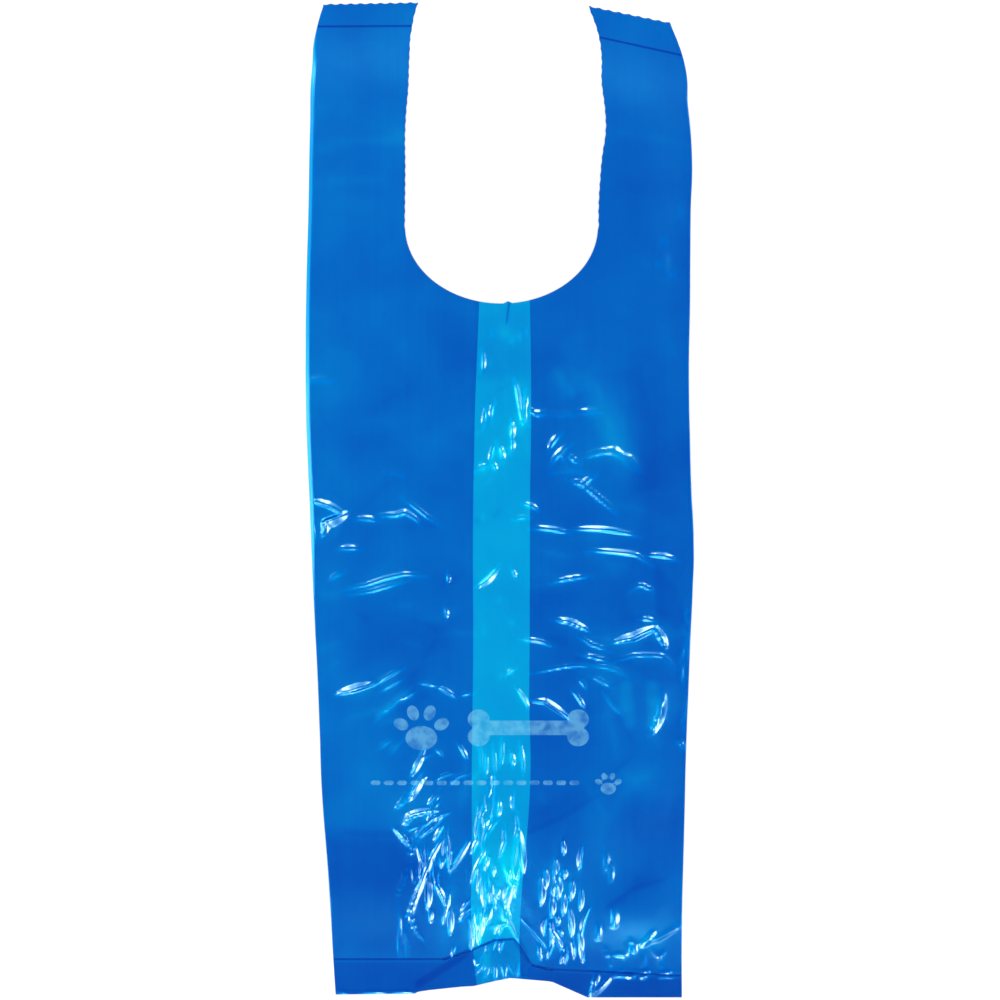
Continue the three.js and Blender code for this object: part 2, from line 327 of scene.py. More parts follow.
@dataclass(frozen=True)
class CrumpleField:
    """A patch of small creases that lie at random about one direction.

    Attributes:
        centre: The patch's middle.
        size: Its half sizes across and along the bag.
        count: How many creases it holds.
        turn: Their mean direction, in degrees from the line across the bag.
        spread: How far single creases turn from it, as a standard deviation.
        length: Least and greatest length of a crease.
        height: Height of a crease before it is varied.
        width: Width of a crease before it is varied.
        bow: How far creases bow sideways, as a share of half their length.
        heights: Least and greatest factor on the height.
        widths: Least and greatest factor on the width.
        gentle_left: Share of the creases whose gentle side is the left one.
    """

    centre: Pair
    size: Pair
    count: int
    turn: float
    spread: float
    length: Pair
    height: float
    width: float
    bow: float = 0.12
    heights: Pair = (0.5, 1.3)
    widths: Pair = (0.75, 1.4)
    gentle_left: float = 0.75

    def creases(self, rng: np.random.Generator) -> list[Crease]:
        """Draw the patch's creases.

        Args:
            rng: Where the random numbers come from.

        Returns:
            The creases.
        """
        drawn = []
        for _ in range(self.count):
            radius = math.sqrt(rng.random())
            around = rng.uniform(0, 2 * math.pi)
            x = self.centre[0] + self.size[0] * radius * math.cos(around)
            y = self.centre[1] + self.size[1] * radius * math.sin(around)
            turn = math.radians(rng.normal(self.turn, self.spread))
            half = rng.uniform(*self.length) / 2
            bow = rng.normal(0, self.bow) * half
            dx, dy = math.cos(turn) * half, math.sin(turn) * half
            path = ((x - dx, y - dy), (x - dy * bow / half, y + dx * bow / half), (x + dx, y + dy))
            height = self.height * rng.uniform(*self.heights)
            height *= 1 if rng.random() < self.gentle_left else -1
            drawn.append(Crease(path, height, self.width * rng.uniform(*self.widths)))
        return drawn


@dataclass(frozen=True)
class CreaseFan:
    """Short creases that spread from one place, and start and end at different distances."""

    centre: Pair = (-1.5, -147.5)
    angles: Pair = (228.0, 312.0)
    count: int = 11
    start: float = 2.0
    start_step: float = 1.0
    start_cycle: int = 3
    end: float = 9.0
    end_step: float = 2.5
    end_cycle: int = 2
    height: float = 0.38
    width: float = 0.55

    def creases(self) -> list[Crease]:
        """Spread the creases.

        Returns:
            The creases, in the order of their angles.
        """
        spread = []
        for i, angle in enumerate(np.linspace(*self.angles, self.count)):
            turn = math.radians(angle)
            start = self.start + self.start_step * (i % self.start_cycle)
            end = self.end + self.end_step * (i % self.end_cycle)
            x, y = self.centre
            path = tuple((x + r * math.cos(turn), y + r * math.sin(turn)) for r in (start, end))
            spread.append(Crease(path, self.height, self.width))
        return spread


@dataclass(frozen=True)
class ShadedFold:
    """A band along a fold: painted shade, partly from folded film, or painted sheen below zero."""

    path: Points
    reach: float
    layers: float

    def shade(self, x: Array, y: Array) -> Array:
        """Give the extra layers at each point: painted shade, or painted sheen below zero."""
        gap, _, _ = measure_path(x, y, self.path)
        return self.layers * np.exp(-((gap / self.reach) ** FLAT_TOP))


@dataclass(frozen=True)
class ShadedFacet:
    """A patch between folds with painted shade or, with layers below zero, painted light."""

    corners: Points
    blur: float
    layers: float

    def shade(self, x: Array, y: Array) -> Array:
        """Give the painted shade at each point, in layers of film.

        Args:
            x: Places across the bag.
            y: Places along the bag.

        Returns:
            All of the patch's painted layers inside it, none outside it, and a soft edge between.
        """
        gap, _, _ = measure_path(x, y, (*self.corners, self.corners[0]))
        depth = np.where(inside(x, y, self.corners), gap, -gap)
        return self.layers * ease(depth, -self.blur, self.blur)


@dataclass(frozen=True)
class Billow:
    """A broad, soft swelling: middle, half sizes, turn in degrees and height."""

    x: float
    y: float
    long: float
    wide: float
    turn: float
    height: float

    def relief(self, x: Array, y: Array) -> Array:
        """Give the swelling's height at each point.

        Args:
            x: Places across the bag.
            y: Places along the bag.

        Returns:
            The height, which falls away from the middle on a bell curve.
        """
        turn = math.radians(self.turn)
        along = (x - self.x) * math.cos(turn) + (y - self.y) * math.sin(turn)
        across = (y - self.y) * math.cos(turn) - (x - self.x) * math.sin(turn)
        return self.height * np.exp(-((along / self.long) ** 2) - (across / self.wide) ** 2)


# The creases that the photograph shows one by one: height, width and corners of each.
CREASES = creases(
    # Left of the stripe.
    (0.5, 0.9, (-62.5, 0), (-56.5, -2), (-51.5, -4.5)),
    (0.6, 1.6, (-51.5, -4.5), (-58, -7), (-58.5, -10.5)),
    (0.3, 0.8, (-61.5, -8), (-61, -12.5)),
    (0.4, 0.8, (-47, -6), (-41, -6.5)),
    (0.45, 0.8, (-40.5, -5), (-34, -5), (-31.5, -4), (-28, -6), (-26.5, -7.5)),
    (0.25, 0.7, (-31.5, 0.5), (-24, -5.5), (-20, -7.5)),
    (0.55, 0.75, (-51, -29.2), (-44, -28.0), (-38, -26.0), (-31.5, -24.4), (-25, -24.8)),
    (0.55, 0.6, (-49, -31.0), (-42, -30.0), (-36, -28.2), (-31, -26.4)),
    (0.3, 0.5, (-63, 40), (-57, 40)),
    (0.16, 0.6, (-58, 50), (-49, 49)),
    (0.16, 0.7, (-38, 39.5), (-31, 37.5)),
    (0.14, 0.8, (-48, 27), (-33, 26)),
    (0.4, 0.9, (-56, -26), (-53, -24)),
    (0.2, 1.0, (-52.5, -16), (-47, -16)),
    (0.2, 0.9, (-37, 9.5), (-33, 9)),
    (0.5, 0.7, (-18, -36), (-17.5, -38.5)),
    (0.3, 0.6, (-17, -25), (-17, -27)),
    (0.5, 1.6, (-53, -64), (-48, -63), (-42, -61)),
    (0.5, 0.9, (-40.5, -60.5), (-33, -56)),
    (0.4, 0.8, (-39, -63), (-33, -59.5)),
    (0.6, 0.7, (-41, -72.5), (-36, -67)),
    (0.6, 0.8, (-37.5, -70), (-30.5, -62.5)),
    (0.4, 0.8, (-32, -66), (-29, -64)),
    (0.3, 0.8, (-26, -60.5), (-21, -61.5)),
    (0.5, 0.9, (-20, -62), (-15, -65)),
    (0.4, 0.7, (-12.5, -64.5), (-9.5, -64)),
    (0.5, 1.0, (-25, -82.5), (-29, -91)),
    (0.7, 1.2, (-25.5, -91), (-30, -99)),
    (0.4, 0.8, (-21, -82.5), (-19, -84.5)),
    (0.5, 0.8, (-13.5, -81), (-11, -85.5)),
    (0.4, 0.7, (-39.5, -82), (-36, -79)),
    (0.4, 0.7, (-36, -83.5), (-33, -80)),
    (0.4, 0.8, (-34, -102), (-31.5, -98.5)),
    (0.4, 0.8, (-23.5, -100.5), (-21, -97.5)),
    (0.6, 1.3, (-31.5, -108), (-29.5, -104.5), (-23, -103), (-20, -103)),
    (0.5, 1.2, (-34.5, -109), (-30.5, -114)),
    (0.4, 0.8, (-21, -106.5), (-19, -104)),
    (0.5, 0.8, (-21.5, -112.5), (-19, -108)),
    (0.6, 1.0, (-18, -110.5), (-23, -118.5), (-26, -126.5), (-28.5, -132.5), (-30, -137.5),
     (-27.5, -143), (-25.5, -145.5)),
    (0.5, 0.8, (-17.5, -110.5), (-17, -118.5), (-16.5, -123.5)),
    (0.6, 0.9, (-16.5, -135.5), (-16.5, -143.5)),
    (0.5, 0.8, (-10, -113), (-16.5, -123)),
    (0.7, 1.3, (-19.5, -118.5), (-19.5, -121.5)),
    (0.7, 1.2, (-24, -125), (-24, -135)),
    (0.6, 1.0, (-21, -127.5), (-18, -134)),
    (0.4, 0.9, (-23, -136), (-23, -139.5)),
    (0.25, 0.7, (-33, -134), (-33, -151.5)),
    (0.25, 0.7, (-30.5, -138), (-30.5, -151)),
    (0.5, 0.8, (-13, -139), (-10, -135.5)),
    (0.4, 0.7, (-12.5, -136), (-10.5, -133)),
    (0.6, 0.8, (-9.5, -139), (-9.5, -149)),
    (0.6, 0.9, (-7, -147), (-5.5, -136)),
    (0.12, 2.0, (-52, -110), (-43, -110), (-34.5, -110)),
    (0.25, 0.5, (-54, -163.0), (-51.5, -163.3)),
    (0.2, 0.5, (-46, -163.2), (-38, -163.3)),
    (0.24, 0.5, (-36, -163.1), (-29, -163.2)),
    (-0.5, 3.0, (-18, -41.5), (-31.5, -63)),
    # On and beside the stripe.
    (0.5, 0.8, (-1.5, 55.5), (0, 55), (2, 54.5), (4.5, 53.5), (7, 55)),
    (0.25, 0.7, (-5.5, 49), (-5.5, 43)),
    (0.5, 0.5, (5.4, 39), (6.2, 33), (7.4, 26.5)),
    (0.35, 0.5, (9.0, 35.5), (8.3, 31), (8.2, 26)),
    (0.6, 0.8, (7.0, 28), (7.8, 25.6), (9.2, 25.4)),
    (0.5, 0.8, (9.3, 30.2), (12, 28.6), (15.8, 28.8)),
    (0.5, 0.8, (4.2, 25.5), (4, 21)),
    (0.3, 0.5, (4.4, 20), (4.2, 16.5)),
    (0.7, 1.6, (0.3, 17.5), (1.2, 13.8)),
    (0.5, 1.0, (-2.4, 12.2), (-1.2, 10.4)),
    (0.5, 0.9, (-7.2, 10.3), (-4.4, 11.5)),
    (0.7, 1.0, (8.6, -1.2), (12.2, -2.6)),
    (0.25, 0.7, (5.5, -6), (9, -5.5)),
    (0.35, 1.0, (-1, -23), (-4, -26), (-7, -28.5)),
    (0.35, 0.6, (4.5, -23.5), (5, -25)),
    (0.5, 0.8, (7.5, -46), (12, -46.5), (17, -48)),
    (0.5, 0.8, (2.5, -57.5), (4.5, -56)),
    (0.45, 0.8, (6, -62.5), (9.5, -68.5)),
    (0.45, 0.7, (-4.5, -84), (-4.5, -91)),
    (0.6, 1.4, (4, -84), (4.5, -87.5)),
    (0.3, 0.6, (-6.5, -81), (-6, -89)),
    (0.35, 0.6, (-2, -82), (-1.5, -90)),
    (0.35, 0.6, (1, -80), (0.5, -88)),
    (0.35, 0.7, (7, -81), (8, -90)),
    (0.7, 1.2, (6.5, -110), (7.5, -123)),
    (0.5, 0.8, (0, -100), (-0.5, -104.5)),
    (0.4, 0.7, (-4, -105.5), (-4.5, -107.5)),
    (0.5, 0.8, (-5.5, -115), (-5.5, -118)),
    (0.5, 0.8, (-4, -118), (-5, -122)),
    (0.4, 0.7, (-2, -121), (-2, -124)),
    (0.5, 0.8, (3, -122.5), (3, -126.5)),
    (0.5, 0.8, (1.5, -121), (4, -128), (2, -135), (3.5, -138)),
    (0.4, 0.7, (5.5, -112), (4.5, -121), (5, -131)),
    (0.5, 0.8, (-0.5, -129), (-1, -131.5)),
    (0.6, 1.0, (-5.5, -136.5), (-7, -145)),
    (0.5, 0.7, (0, -134), (3, -140), (6, -146)),
    (0.4, 0.8, (-2.5, -141.5), (3, -140.5)),
    (0.6, 1.2, (1, -137.5), (1.5, -140)),
    # Right of the stripe.
    (0.3, 0.7, (60, 96), (60, 94.5)),
    (0.35, 0.7, (53.5, 87), (55, 86)),
    (0.25, 0.6, (53.5, 78.5), (57.5, 75.5)),
    (0.5, 2.6, (17.5, 44.5), (23, 38.5), (25, 34)),
    (0.4, 2.6, (52.5, 59), (56, 53), (59, 47.5)),
    (0.5, 3.0, (31, 41), (35.5, 31), (40, 21), (44.5, 12)),
    (0.4, 2.0, (18, 44), (21, 38), (25, 33.5)),
    (0.26, 0.5, (17, 29), (20, 28.2), (24, 29)),
    (0.2, 0.9, (25.5, 29), (32, 29.5)),
    (0.28, 0.55, (17, 13), (20, 16), (22, 13)),
    (0.3, 0.55, (18, 9.5), (25, 10.2), (30, 9)),
    (0.2, 1.0, (26, 14), (35, 16), (43, 14), (46, 11)),
    (0.2, 2.0, (27, 29), (33, 29.5)),
    (0.35, 0.9, (16.5, 17.5), (19.5, 21.5)),
    (0.35, 0.9, (17.5, 13), (22.5, 18)),
    (0.4, 0.9, (22.5, 15), (26.5, 12)),
    (0.25, 1.0, (28.5, 15.5), (38, 16.5), (43.5, 11.5)),
    (0.5, 0.9, (24, 6.5), (27.5, 5), (31, 8)),
    (0.3, 1.0, (27.5, 5), (38, -3.5)),
    (0.4, 0.8, (11, -9), (22.5, -10.5)),
    (0.55, 0.8, (24, -9.5), (29, -9.5), (36.5, -10), (45.5, -11.5)),
    (0.55, 0.8, (29.5, -16.5), (35.5, -17), (45, -18), (50, -21)),
    (0.45, 0.8, (49.5, -18), (54, -18.5), (58, -19.5)),
    (0.4, 0.8, (17.5, -27), (29.5, -25)),
    (0.4, 0.8, (44, -29.5), (46.5, -28), (51, -30)),
    (0.7, 1.1, (18.5, -39.5), (23, -40.5), (29, -43)),
    (0.5, 1.4, (47, -39), (51, -40)),
    (0.9, 1.6, (38.5, -47), (44.5, -46), (51.5, -42.5)),
    (0.8, 1.6, (51.5, -42.5), (54.5, -48.5)),
    (0.35, 0.9, (27, -45.5), (30.5, -48), (35.5, -49.5)),
    (0.4, 0.9, (27, -51), (36.5, -53.5)),
    (0.24, 1.0, (37, -53.5), (44.5, -51.5), (53.5, -51.5), (59, -56)),
    (0.3, 0.8, (11, -57), (22.5, -55), (31, -54.5)),
    (0.5, 0.7, (31, -54.5), (38, -56), (42, -58)),
    (0.5, 0.9, (31, -58.5), (36.5, -61.5)),
    (0.4, 0.8, (26.5, -59.5), (28.5, -62)),
    (0.4, 0.9, (24.5, -63.5), (28, -68.5)),
    (0.5, 2.4, (38, -61), (40, -66), (41, -71)),
    (0.4, 0.7, (35, -64), (37.5, -68), (40, -70.5)),
    (0.7, 1.4, (54, -65), (52.5, -71), (50.5, -77)),
    (0.6, 1.3, (11.5, -66.5), (15, -67), (22.5, -72)),
    (0.5, 0.9, (59, -79.5), (61.8, -83)),
    (0.5, 0.7, (62.4, -44), (62.8, -54)),
    (0.4, 0.6, (61.8, -66), (61.4, -73)),
    (0.3, 2.0, (40, -93), (52, -92)),
    (0.8, 1.1, (13.7, -125.5), (13.7, -133.5)),
    (0.5, 0.8, (15.3, -122.5), (15.3, -128)),
    (0.6, 1.0, (17.2, -132), (17.2, -137.5)),
    (0.6, 0.9, (18.6, -119.5), (18.2, -125.5)),
    (0.6, 1.0, (19.6, -125.5), (19.3, -131.5)),
    (0.5, 0.8, (21.7, -122.5), (21.5, -125)),
    (0.6, 0.9, (21.3, -131), (21, -137)),
    (0.6, 0.9, (24, -126.5), (23.5, -132)),
    (0.6, 0.9, (23.2, -135.5), (23.8, -144.5)),
    (0.5, 0.8, (27, -129), (26.7, -135.5)),
    (0.6, 1.0, (19, -138), (19.3, -140.5)),
    (0.7, 1.6, (19.5, -142.5), (20.5, -144)),
    (0.6, 0.9, (17, -142.5), (20.5, -148.5)),
    (0.4, 0.6, (7.8, -139.5), (15.5, -148)),
    (0.4, 0.8, (26.5, -143.5), (27, -150)),
    (0.3, 0.8, (32.8, -140.5), (32.8, -145.5)),
    (0.35, 1.0, (35, -116.5), (35, -122.5)),
    (0.35, 1.0, (36.5, -120.5), (36.5, -126.5)),
    (0.7, 1.0, (38, -135.5), (38, -141)),
    (-0.4, 2.0, (38.5, -134), (46, -127.5), (53.5, -125)),
    (0.6, 1.2, (50.5, -143.5), (47.5, -147.5)),
    (0.4, 0.8, (60, -141), (52, -145.5), (46, -147)),
    (0.5, 2.2, (56, -145), (48, -148), (40, -151)),
    (0.6, 1.1, (38.5, -150.8), (42, -151.2)),
    (0.6, 1.2, (32, -157), (30, -164)),
    (0.5, 1.0, (37, -157.5), (30.5, -164.5)),
)

# Patches of creases that are too small to place one by one.
CRUMPLES = (
    CrumpleField((-25, -124), (9, 28), 18, 74, 14, (5, 14), 0.4, 0.6),
    CrumpleField((-24, -96), (11, 14), 10, 50, 20, (3, 9), 0.4, 0.6),
    CrumpleField((-1, -122), (8, 32), 34, 86, 14, (3, 11), 0.5, 0.5),
    CrumpleField((21, -131), (10, 18), 7, 86, 9, (4, 11), 0.45, 0.65),
    CrumpleField((14, -151), (42, 5), 18, 90, 14, (2, 7), 0.3, 0.55),
    CrumpleField((48, -157.3), (13, 0.8), 26, 90, 20, (0.8, 1.8), 0.4, 0.5),
    CrumpleField((61, -50), (1.6, 30), 7, 88, 8, (3, 8), 0.4, 0.55),
    CrumpleField((-2, 24), (4, 18), 3, 84, 10, (3, 6), 0.25, 0.5),
)

# Patches of creases in the layers below, which show only as painted sheen.
SOFT_CRUMPLES = (
    CrumpleField((36, -36), (25, 40), 24, -8, 12, (6, 16), 0.3, 0.9),
    CrumpleField((-36, -34), (24, 40), 20, 6, 18, (6, 16), 0.26, 0.9),
    CrumpleField((0, 0), (9, 60), 16, 60, 40, (2, 6), 0.25, 0.55),
    CrumpleField((40, -110), (22, 44), 14, 40, 40, (8, 18), 0.3, 1.2),
    CrumpleField((0, 30), (60, 110), 40, 15, 50, (10, 26), 0.14, 1.5),
    CrumpleField((-3, -125), (30, 34), 40, 84, 14, (4, 14), 0.3, 0.8),
    CrumpleField((1, 40), (8, 20), 9, 88, 8, (8, 16), 0.08, 0.5),
)

# Where the film is finely crinkled.
CRINKLED = (
    Billow(-2, -128, 26, 34, 0, 1.0),
    Billow(4, -50, 60, 60, 0, 0.35),
)

# Bands along folds: painted shade, partly from folded film, or with layers below zero, painted sheen.
SHADED_FOLDS = (
    ShadedFold(((-10.5, -150), (-18, -155), (-27, -160.5)), 1.3, 1.2),
    ShadedFold(
        ((-18.4, -152.4), (-8.7, -149.2), (-1.9, -146.3), (4.7, -145.9), (10.5, -154.3), (17, -156)),
        0.6, 1.5,
    ),
    ShadedFold(((-0.9, -134), (4.5, -142), (9.1, -150.5)), 0.5, 0.8),
    ShadedFold(((-51, -110), (-34, -110.8)), 1.2, 0.35),
    ShadedFold(((10, -110), (21, -105), (32, -98)), 1.0, 0.3),
    ShadedFold(((26, -52.7), (43, -53.5)), 1.2, 0.35),
    ShadedFold(((36.5, -134.5), (44, -129), (54, -126)), 0.8, 0.35),
    ShadedFold(((3.2, 66), (2.2, 58.5)), 0.35, 1.6),
    ShadedFold(((-59.5, 117.6), (-45, 119), (-31.5, 121)), 1.6, -0.4),
    ShadedFold(((-55.6, 106.5), (-34.5, 105)), 1.4, -0.25),
    ShadedFold(((35, 121), (48, 121.5), (60, 117)), 1.6, -0.25),
    ShadedFold(((25, 50), (33, 36), (42, 12)), 5.0, -0.35),
    ShadedFold(((34, -106), (42, -119)), 7.0, -0.4),
    ShadedFold(((50.5, -62), (51.5, -74)), 2.4, -0.8),
    ShadedFold(((42, -62), (43, -74)), 2.2, -0.7),
    ShadedFold(((28, -56), (52, -60)), 3.0, -0.3),
    ShadedFold(((48, 44), (50, 20), (54, 0)), 6.0, 0.3),
    ShadedFold(((-45, 15), (-20, 8)), 9.0, 0.25),
)

# Patches of painted shade or, with layers below zero, painted light, with a soft edge each.
SHADED_FACETS = (
    ShadedFacet(
        ((31, 42), (33, 38), (36, 28), (40, 19), (43, 11.5), (44, 2), (53, 4), (52, 24), (47, 44)),
        1.2, 0.28,
    ),
    ShadedFacet(((30, 41), (33, 36), (36, 27), (43, 10), (36, 16), (28, 30), (22, 45)), 1.5, -0.2),
    ShadedFacet(((51, -19.5), (59, -29.6), (62.4, -39), (59, -43.4), (52.2, -38), (51.4, -32)), 0.8, 0.35),
    ShadedFacet(((42.9, -27.6), (51.4, -29.7), (52.2, -38), (44, -38), (41.3, -32)), 0.9, -0.3),
    ShadedFacet(((-59, -110), (-34, -110.5), (-20, -126), (-24, -150), (-56, -151)), 5.0, 1.2),
    ShadedFacet(((-7, 66), (10, 66), (10.4, 40), (-7.5, 40)), 3.0, 0.45),
    ShadedFacet(((10, -110), (32, -98), (60, -104), (61, -92), (30, -93), (10, -103)), 2.5, 0.25),
    ShadedFacet(((34, -100), (60, -100), (60, -122), (44, -130), (34, -116)), 4.0, 0.4),
    ShadedFacet(((36, -141), (60, -138), (60, -146), (48, -151), (36, -150)), 2.0, -0.35),
    ShadedFacet(((16, -152), (34, -148), (36, -155), (14, -155)), 1.5, 0.5),
    ShadedFacet(((-63, -6), (-51, -5), (-54, -12), (-62, -16)), 1.2, -0.3),
)

# The film's broad swellings.
BILLOWS = (
    Billow(28, 30, 24, 12, -62, 0.9),
    Billow(46, 4, 22, 12, -70, 0.6),
    Billow(-44, -18, 20, 9, 4, 0.5),
    Billow(-36, -44, 22, 12, 30, 0.8),
    Billow(44, -62, 16, 12, -20, 0.9),
    Billow(-24, -96, 12, 16, 20, 0.7),
    Billow(36, -104, 24, 14, 30, 0.8),
    Billow(-44, -120, 14, 26, 0, 0.12),
    Billow(46, -138, 16, 9, 20, 0.4),
    Billow(2, -120, 9, 24, 0, 0.5),
    Billow(-48, 60, 10, 40, 0, 0.4),
    Billow(48, 90, 10, 46, 2, 0.5),
)


@dataclass
class BagOutline:
    """The flat bag's outline and the lines that run across it.

    Attributes:
        base_skirt: Film below the base weld, which takes its own rows of the grid.
        top_skirt: Film above the handle welds, likewise.
        overrun: How far the grid reaches past the handle tops before they are cut.
        peek_start: Where the back starts to show at the left and where it shows in full.
        peek_end: Where it stops showing in full and where it is hidden again.
        wave_points: Points drawn for each tooth or wave.
        trim_side: How far the trimmings reach past the bag's sides.
        cut_overrun: How far the U cut reaches past the bag's top.
        cut_foot: Where the sides of the U cut turn into its round foot.
        notch_at: Middle of the small notch in the foot of the U cut.
        left_fold: The left outer fold, as pairs of place along and across the bag. The
            other folds and the sides of the cut are given in the same way.
        base_edge: The base edge, as pairs of place across and along the bag, as for the
            welds and the handle tops.
    """

    length: float
    width: float
    base_skirt: float = 11.0
    top_skirt: float = 9.0
    overrun: float = 1.5
    fold_tries: int = 4
    back_peek: float = 1.1
    peek_start: Pair = (-46.0, 0.0)
    peek_end: Pair = (142.0, 162.0)
    tooth_pitch: float = 3.3
    tooth_depth: float = 0.45
    scallop_pitch: float = 3.0
    scallop_depth: float = 0.22
    wave_points: int = 6
    trim_side: float = 3.0
    trim_height: float = 9.0
    cut_overrun: float = 4.0
    cut_points: int = 72
    cut_middle: float = 0.6
    cut_bottom: float = 65.3
    cut_foot: float = 90.9
    cut_radius: float = 32.0
    notch_at: float = 3.0
    notch_width: float = 0.8
    notch_depth: float = 0.75
    left_fold: Points = (
        (-165, -54.4), (-151.7, -55.3), (-131.7, -56.4), (-113.9, -57.7), (-102.8, -58.6),
        (-77.5, -59.7), (-55.3, -60.6), (-36.4, -61.6), (-17.8, -62.4), (0, -63.1),
        (15.5, -63.8), (33.2, -64.3), (49.8, -64.4), (69.7, -64.2), (96.3, -63.5),
        (125.9, -62.9), (144.6, -62.2), (157.5, -60.6), (165, -58.3),
    )
    right_fold: Points = (
        (-165, 60.5), (-140.5, 60.5), (-118.4, 61.0), (-102.8, 61.4), (-82, 61.9),
        (-64.2, 62.6), (-44.2, 63.4), (-29, 64.1), (-13.4, 64.4), (2.2, 63.7), (19.9, 63.2),
        (33.2, 62.9), (66.4, 63.2), (96.3, 63.4), (117.1, 63.7), (132.1, 62.4), (145, 61.4),
        (151, 59.6), (158.4, 56.6), (166, 54),
    )
    left_inner: Points = (
        (-165, -7.1), (-149.2, -8.8), (-118.4, -9.2), (-49.7, -8.8), (15.5, -8.5),
        (44, -7.7), (65.6, -6.8), (165, -6.8),
    )
    right_inner: Points = (
        (-165, 7.1), (-131.7, 7.2), (-124.1, 7.8), (-109.4, 9.2), (-64.2, 9.8),
        (2.2, 10.1), (41.9, 10.4), (67.1, 10.0), (165, 10.0),
    )
    left_cut: Points = (
        (90.7, -31.4), (110.4, -31.2), (125.9, -31.1), (137.5, -30.2), (148.1, -29.8),
        (157.5, -28.9), (165.2, -27.0), (170, -25.5),
    )
    right_cut: Points = (
        (91.0, 32.7), (99.6, 32.8), (105.9, 33.2), (115.7, 34.1), (121.9, 35.0),
        (127.3, 35.0), (139.2, 33.7), (149.5, 33.5), (153.9, 32.8), (163.9, 29.5), (170, 27.8),
    )
    base_edge: Points = (
        (-64, -164.1), (-28, -163.7), (-27.4, -163.2), (-20.7, -161.9), (-8.7, -161.2),
        (-1.1, -159.4), (10.9, -157.0), (29.2, -165.0), (64, -165.0),
    )
    base_weld: Points = (
        (-64, -152.4), (-18.4, -152.4), (-8.7, -149.2), (-1.9, -146.1), (4.7, -145.7),
        (7.2, -148.5), (10.5, -154.3), (15.8, -155.7), (33.9, -156.5), (64, -158.0),
    )
    handle_top: Points = ((-64, 164.8), (-27, 165.5), (29.5, 164.3), (64, 157.2))
    handle_weld: Points = ((-64, 157.3), (-27, 157.5), (33, 153.8), (64, 147.0))

    def __post_init__(self) -> None:
        """Make the curves that the lists of points stand for."""
        self.left_fold_at = smooth_curve(self.left_fold)
        self.right_fold_at = smooth_curve(self.right_fold)
        self.left_inner_at = smooth_curve(self.left_inner)
        self.right_inner_at = smooth_curve(self.right_inner)
        self.left_cut_at = smooth_curve(self.left_cut)
        self.right_cut_at = smooth_curve(self.right_cut)
        self.base_edge_at = broken_line(self.base_edge)
        self.base_weld_at = broken_line(self.base_weld)
        self.handle_top_at = broken_line(self.handle_top)
        self.handle_weld_at = broken_line(self.handle_weld)

    def row_y(self, share: Array, x: Array) -> Array:
        """Place a row of the film along the bag.

        Args:
            share: Share of the length from the base edge, one for each point.
            x: Place across the bag, one for each point.

        Returns:
            The place along the bag, which follows the welds and edges where it is near them.
        """
        low = self.base_skirt / self.length
        high = 1 - self.top_skirt / self.length
        edge, weld = self.base_edge_at(x), self.base_weld_at(x)
        top_weld, top = self.handle_weld_at(x), self.handle_top_at(x) + self.overrun
        in_base = edge + (weld - edge) * share / low
        in_body = weld + (top_weld - weld) * (share - low) / (high - low)
        in_top = top_weld + (top - top_weld) * (share - high) / (1 - high)
        return np.where(share < low, in_base, np.where(share > high, in_top, in_body))

    def fold_x(self, fold: Curve, share: Array) -> Array:
        """Find where rows of the film meet a fold.

        Args:
            fold: The fold's place across the bag, for places along it.
            share: Each row's share of the length from the base edge.

        Returns:
            The places across the bag, one for each row.
        """
        x = fold(np.zeros_like(share))
        for _ in range(self.fold_tries):
            x = fold(self.row_y(share, x))
        return x

    def peek(self, y: Array) -> Array:
        """Give how far the back shows past the left edge of the front."""
        return self.back_peek * ease(y, *self.peek_start) * (1 - ease(y, *self.peek_end))

    def weld_offset(self, x: Array, y: Array) -> Array:
        """Give how far each point lies above the nearer weld, negative below it."""
        return np.where(y < 0, y - self.base_weld_at(x), y - self.handle_weld_at(x))

    def cut_outline(self) -> Array:
        """Draw the U cut.

        Returns:
            Its corners, from the top of its left side round to the top of its right side.
        """
        end = self.length / 2 + self.cut_overrun
        y = np.arange(self.cut_foot, end, self.scallop_pitch / self.wave_points)
        wave = self.scallop_depth * abs(np.sin(np.pi * y / self.scallop_pitch))
        left = np.stack([self.left_cut_at(y) - wave, y], 1)[::-1]
        right = np.stack([self.right_cut_at(y) + wave, y], 1)
        turn = np.linspace(math.pi, 2 * math.pi, self.cut_points)[1:-1]
        round_x = self.cut_middle + self.cut_radius * np.cos(turn)
        round_y = self.cut_foot + (self.cut_foot - self.cut_bottom) * np.sin(turn)
        from_notch = (round_x - self.notch_at) / self.notch_width
        round_y += self.notch_depth * np.exp(-(from_notch ** FLAT_TOP))
        return np.concatenate([left, np.stack([round_x, round_y], 1), right])

    def top_outline(self) -> Array:
        """Draw the trimmings above the handles, whose lower side is pinked.

        Returns:
            Their corners, from left to right along the pinked side and back above it.
        """
        half = self.width / 2 + self.trim_side
        x = np.arange(-half, half, self.tooth_pitch / self.wave_points)
        wave = abs(np.sin(np.pi * x / self.tooth_pitch))
        pinked = np.stack([x, self.handle_top_at(x) - self.tooth_depth * wave], 1)
        top = self.length / 2 + self.trim_height
        return np.concatenate([pinked, np.array([(half, top), (-half, top)])])


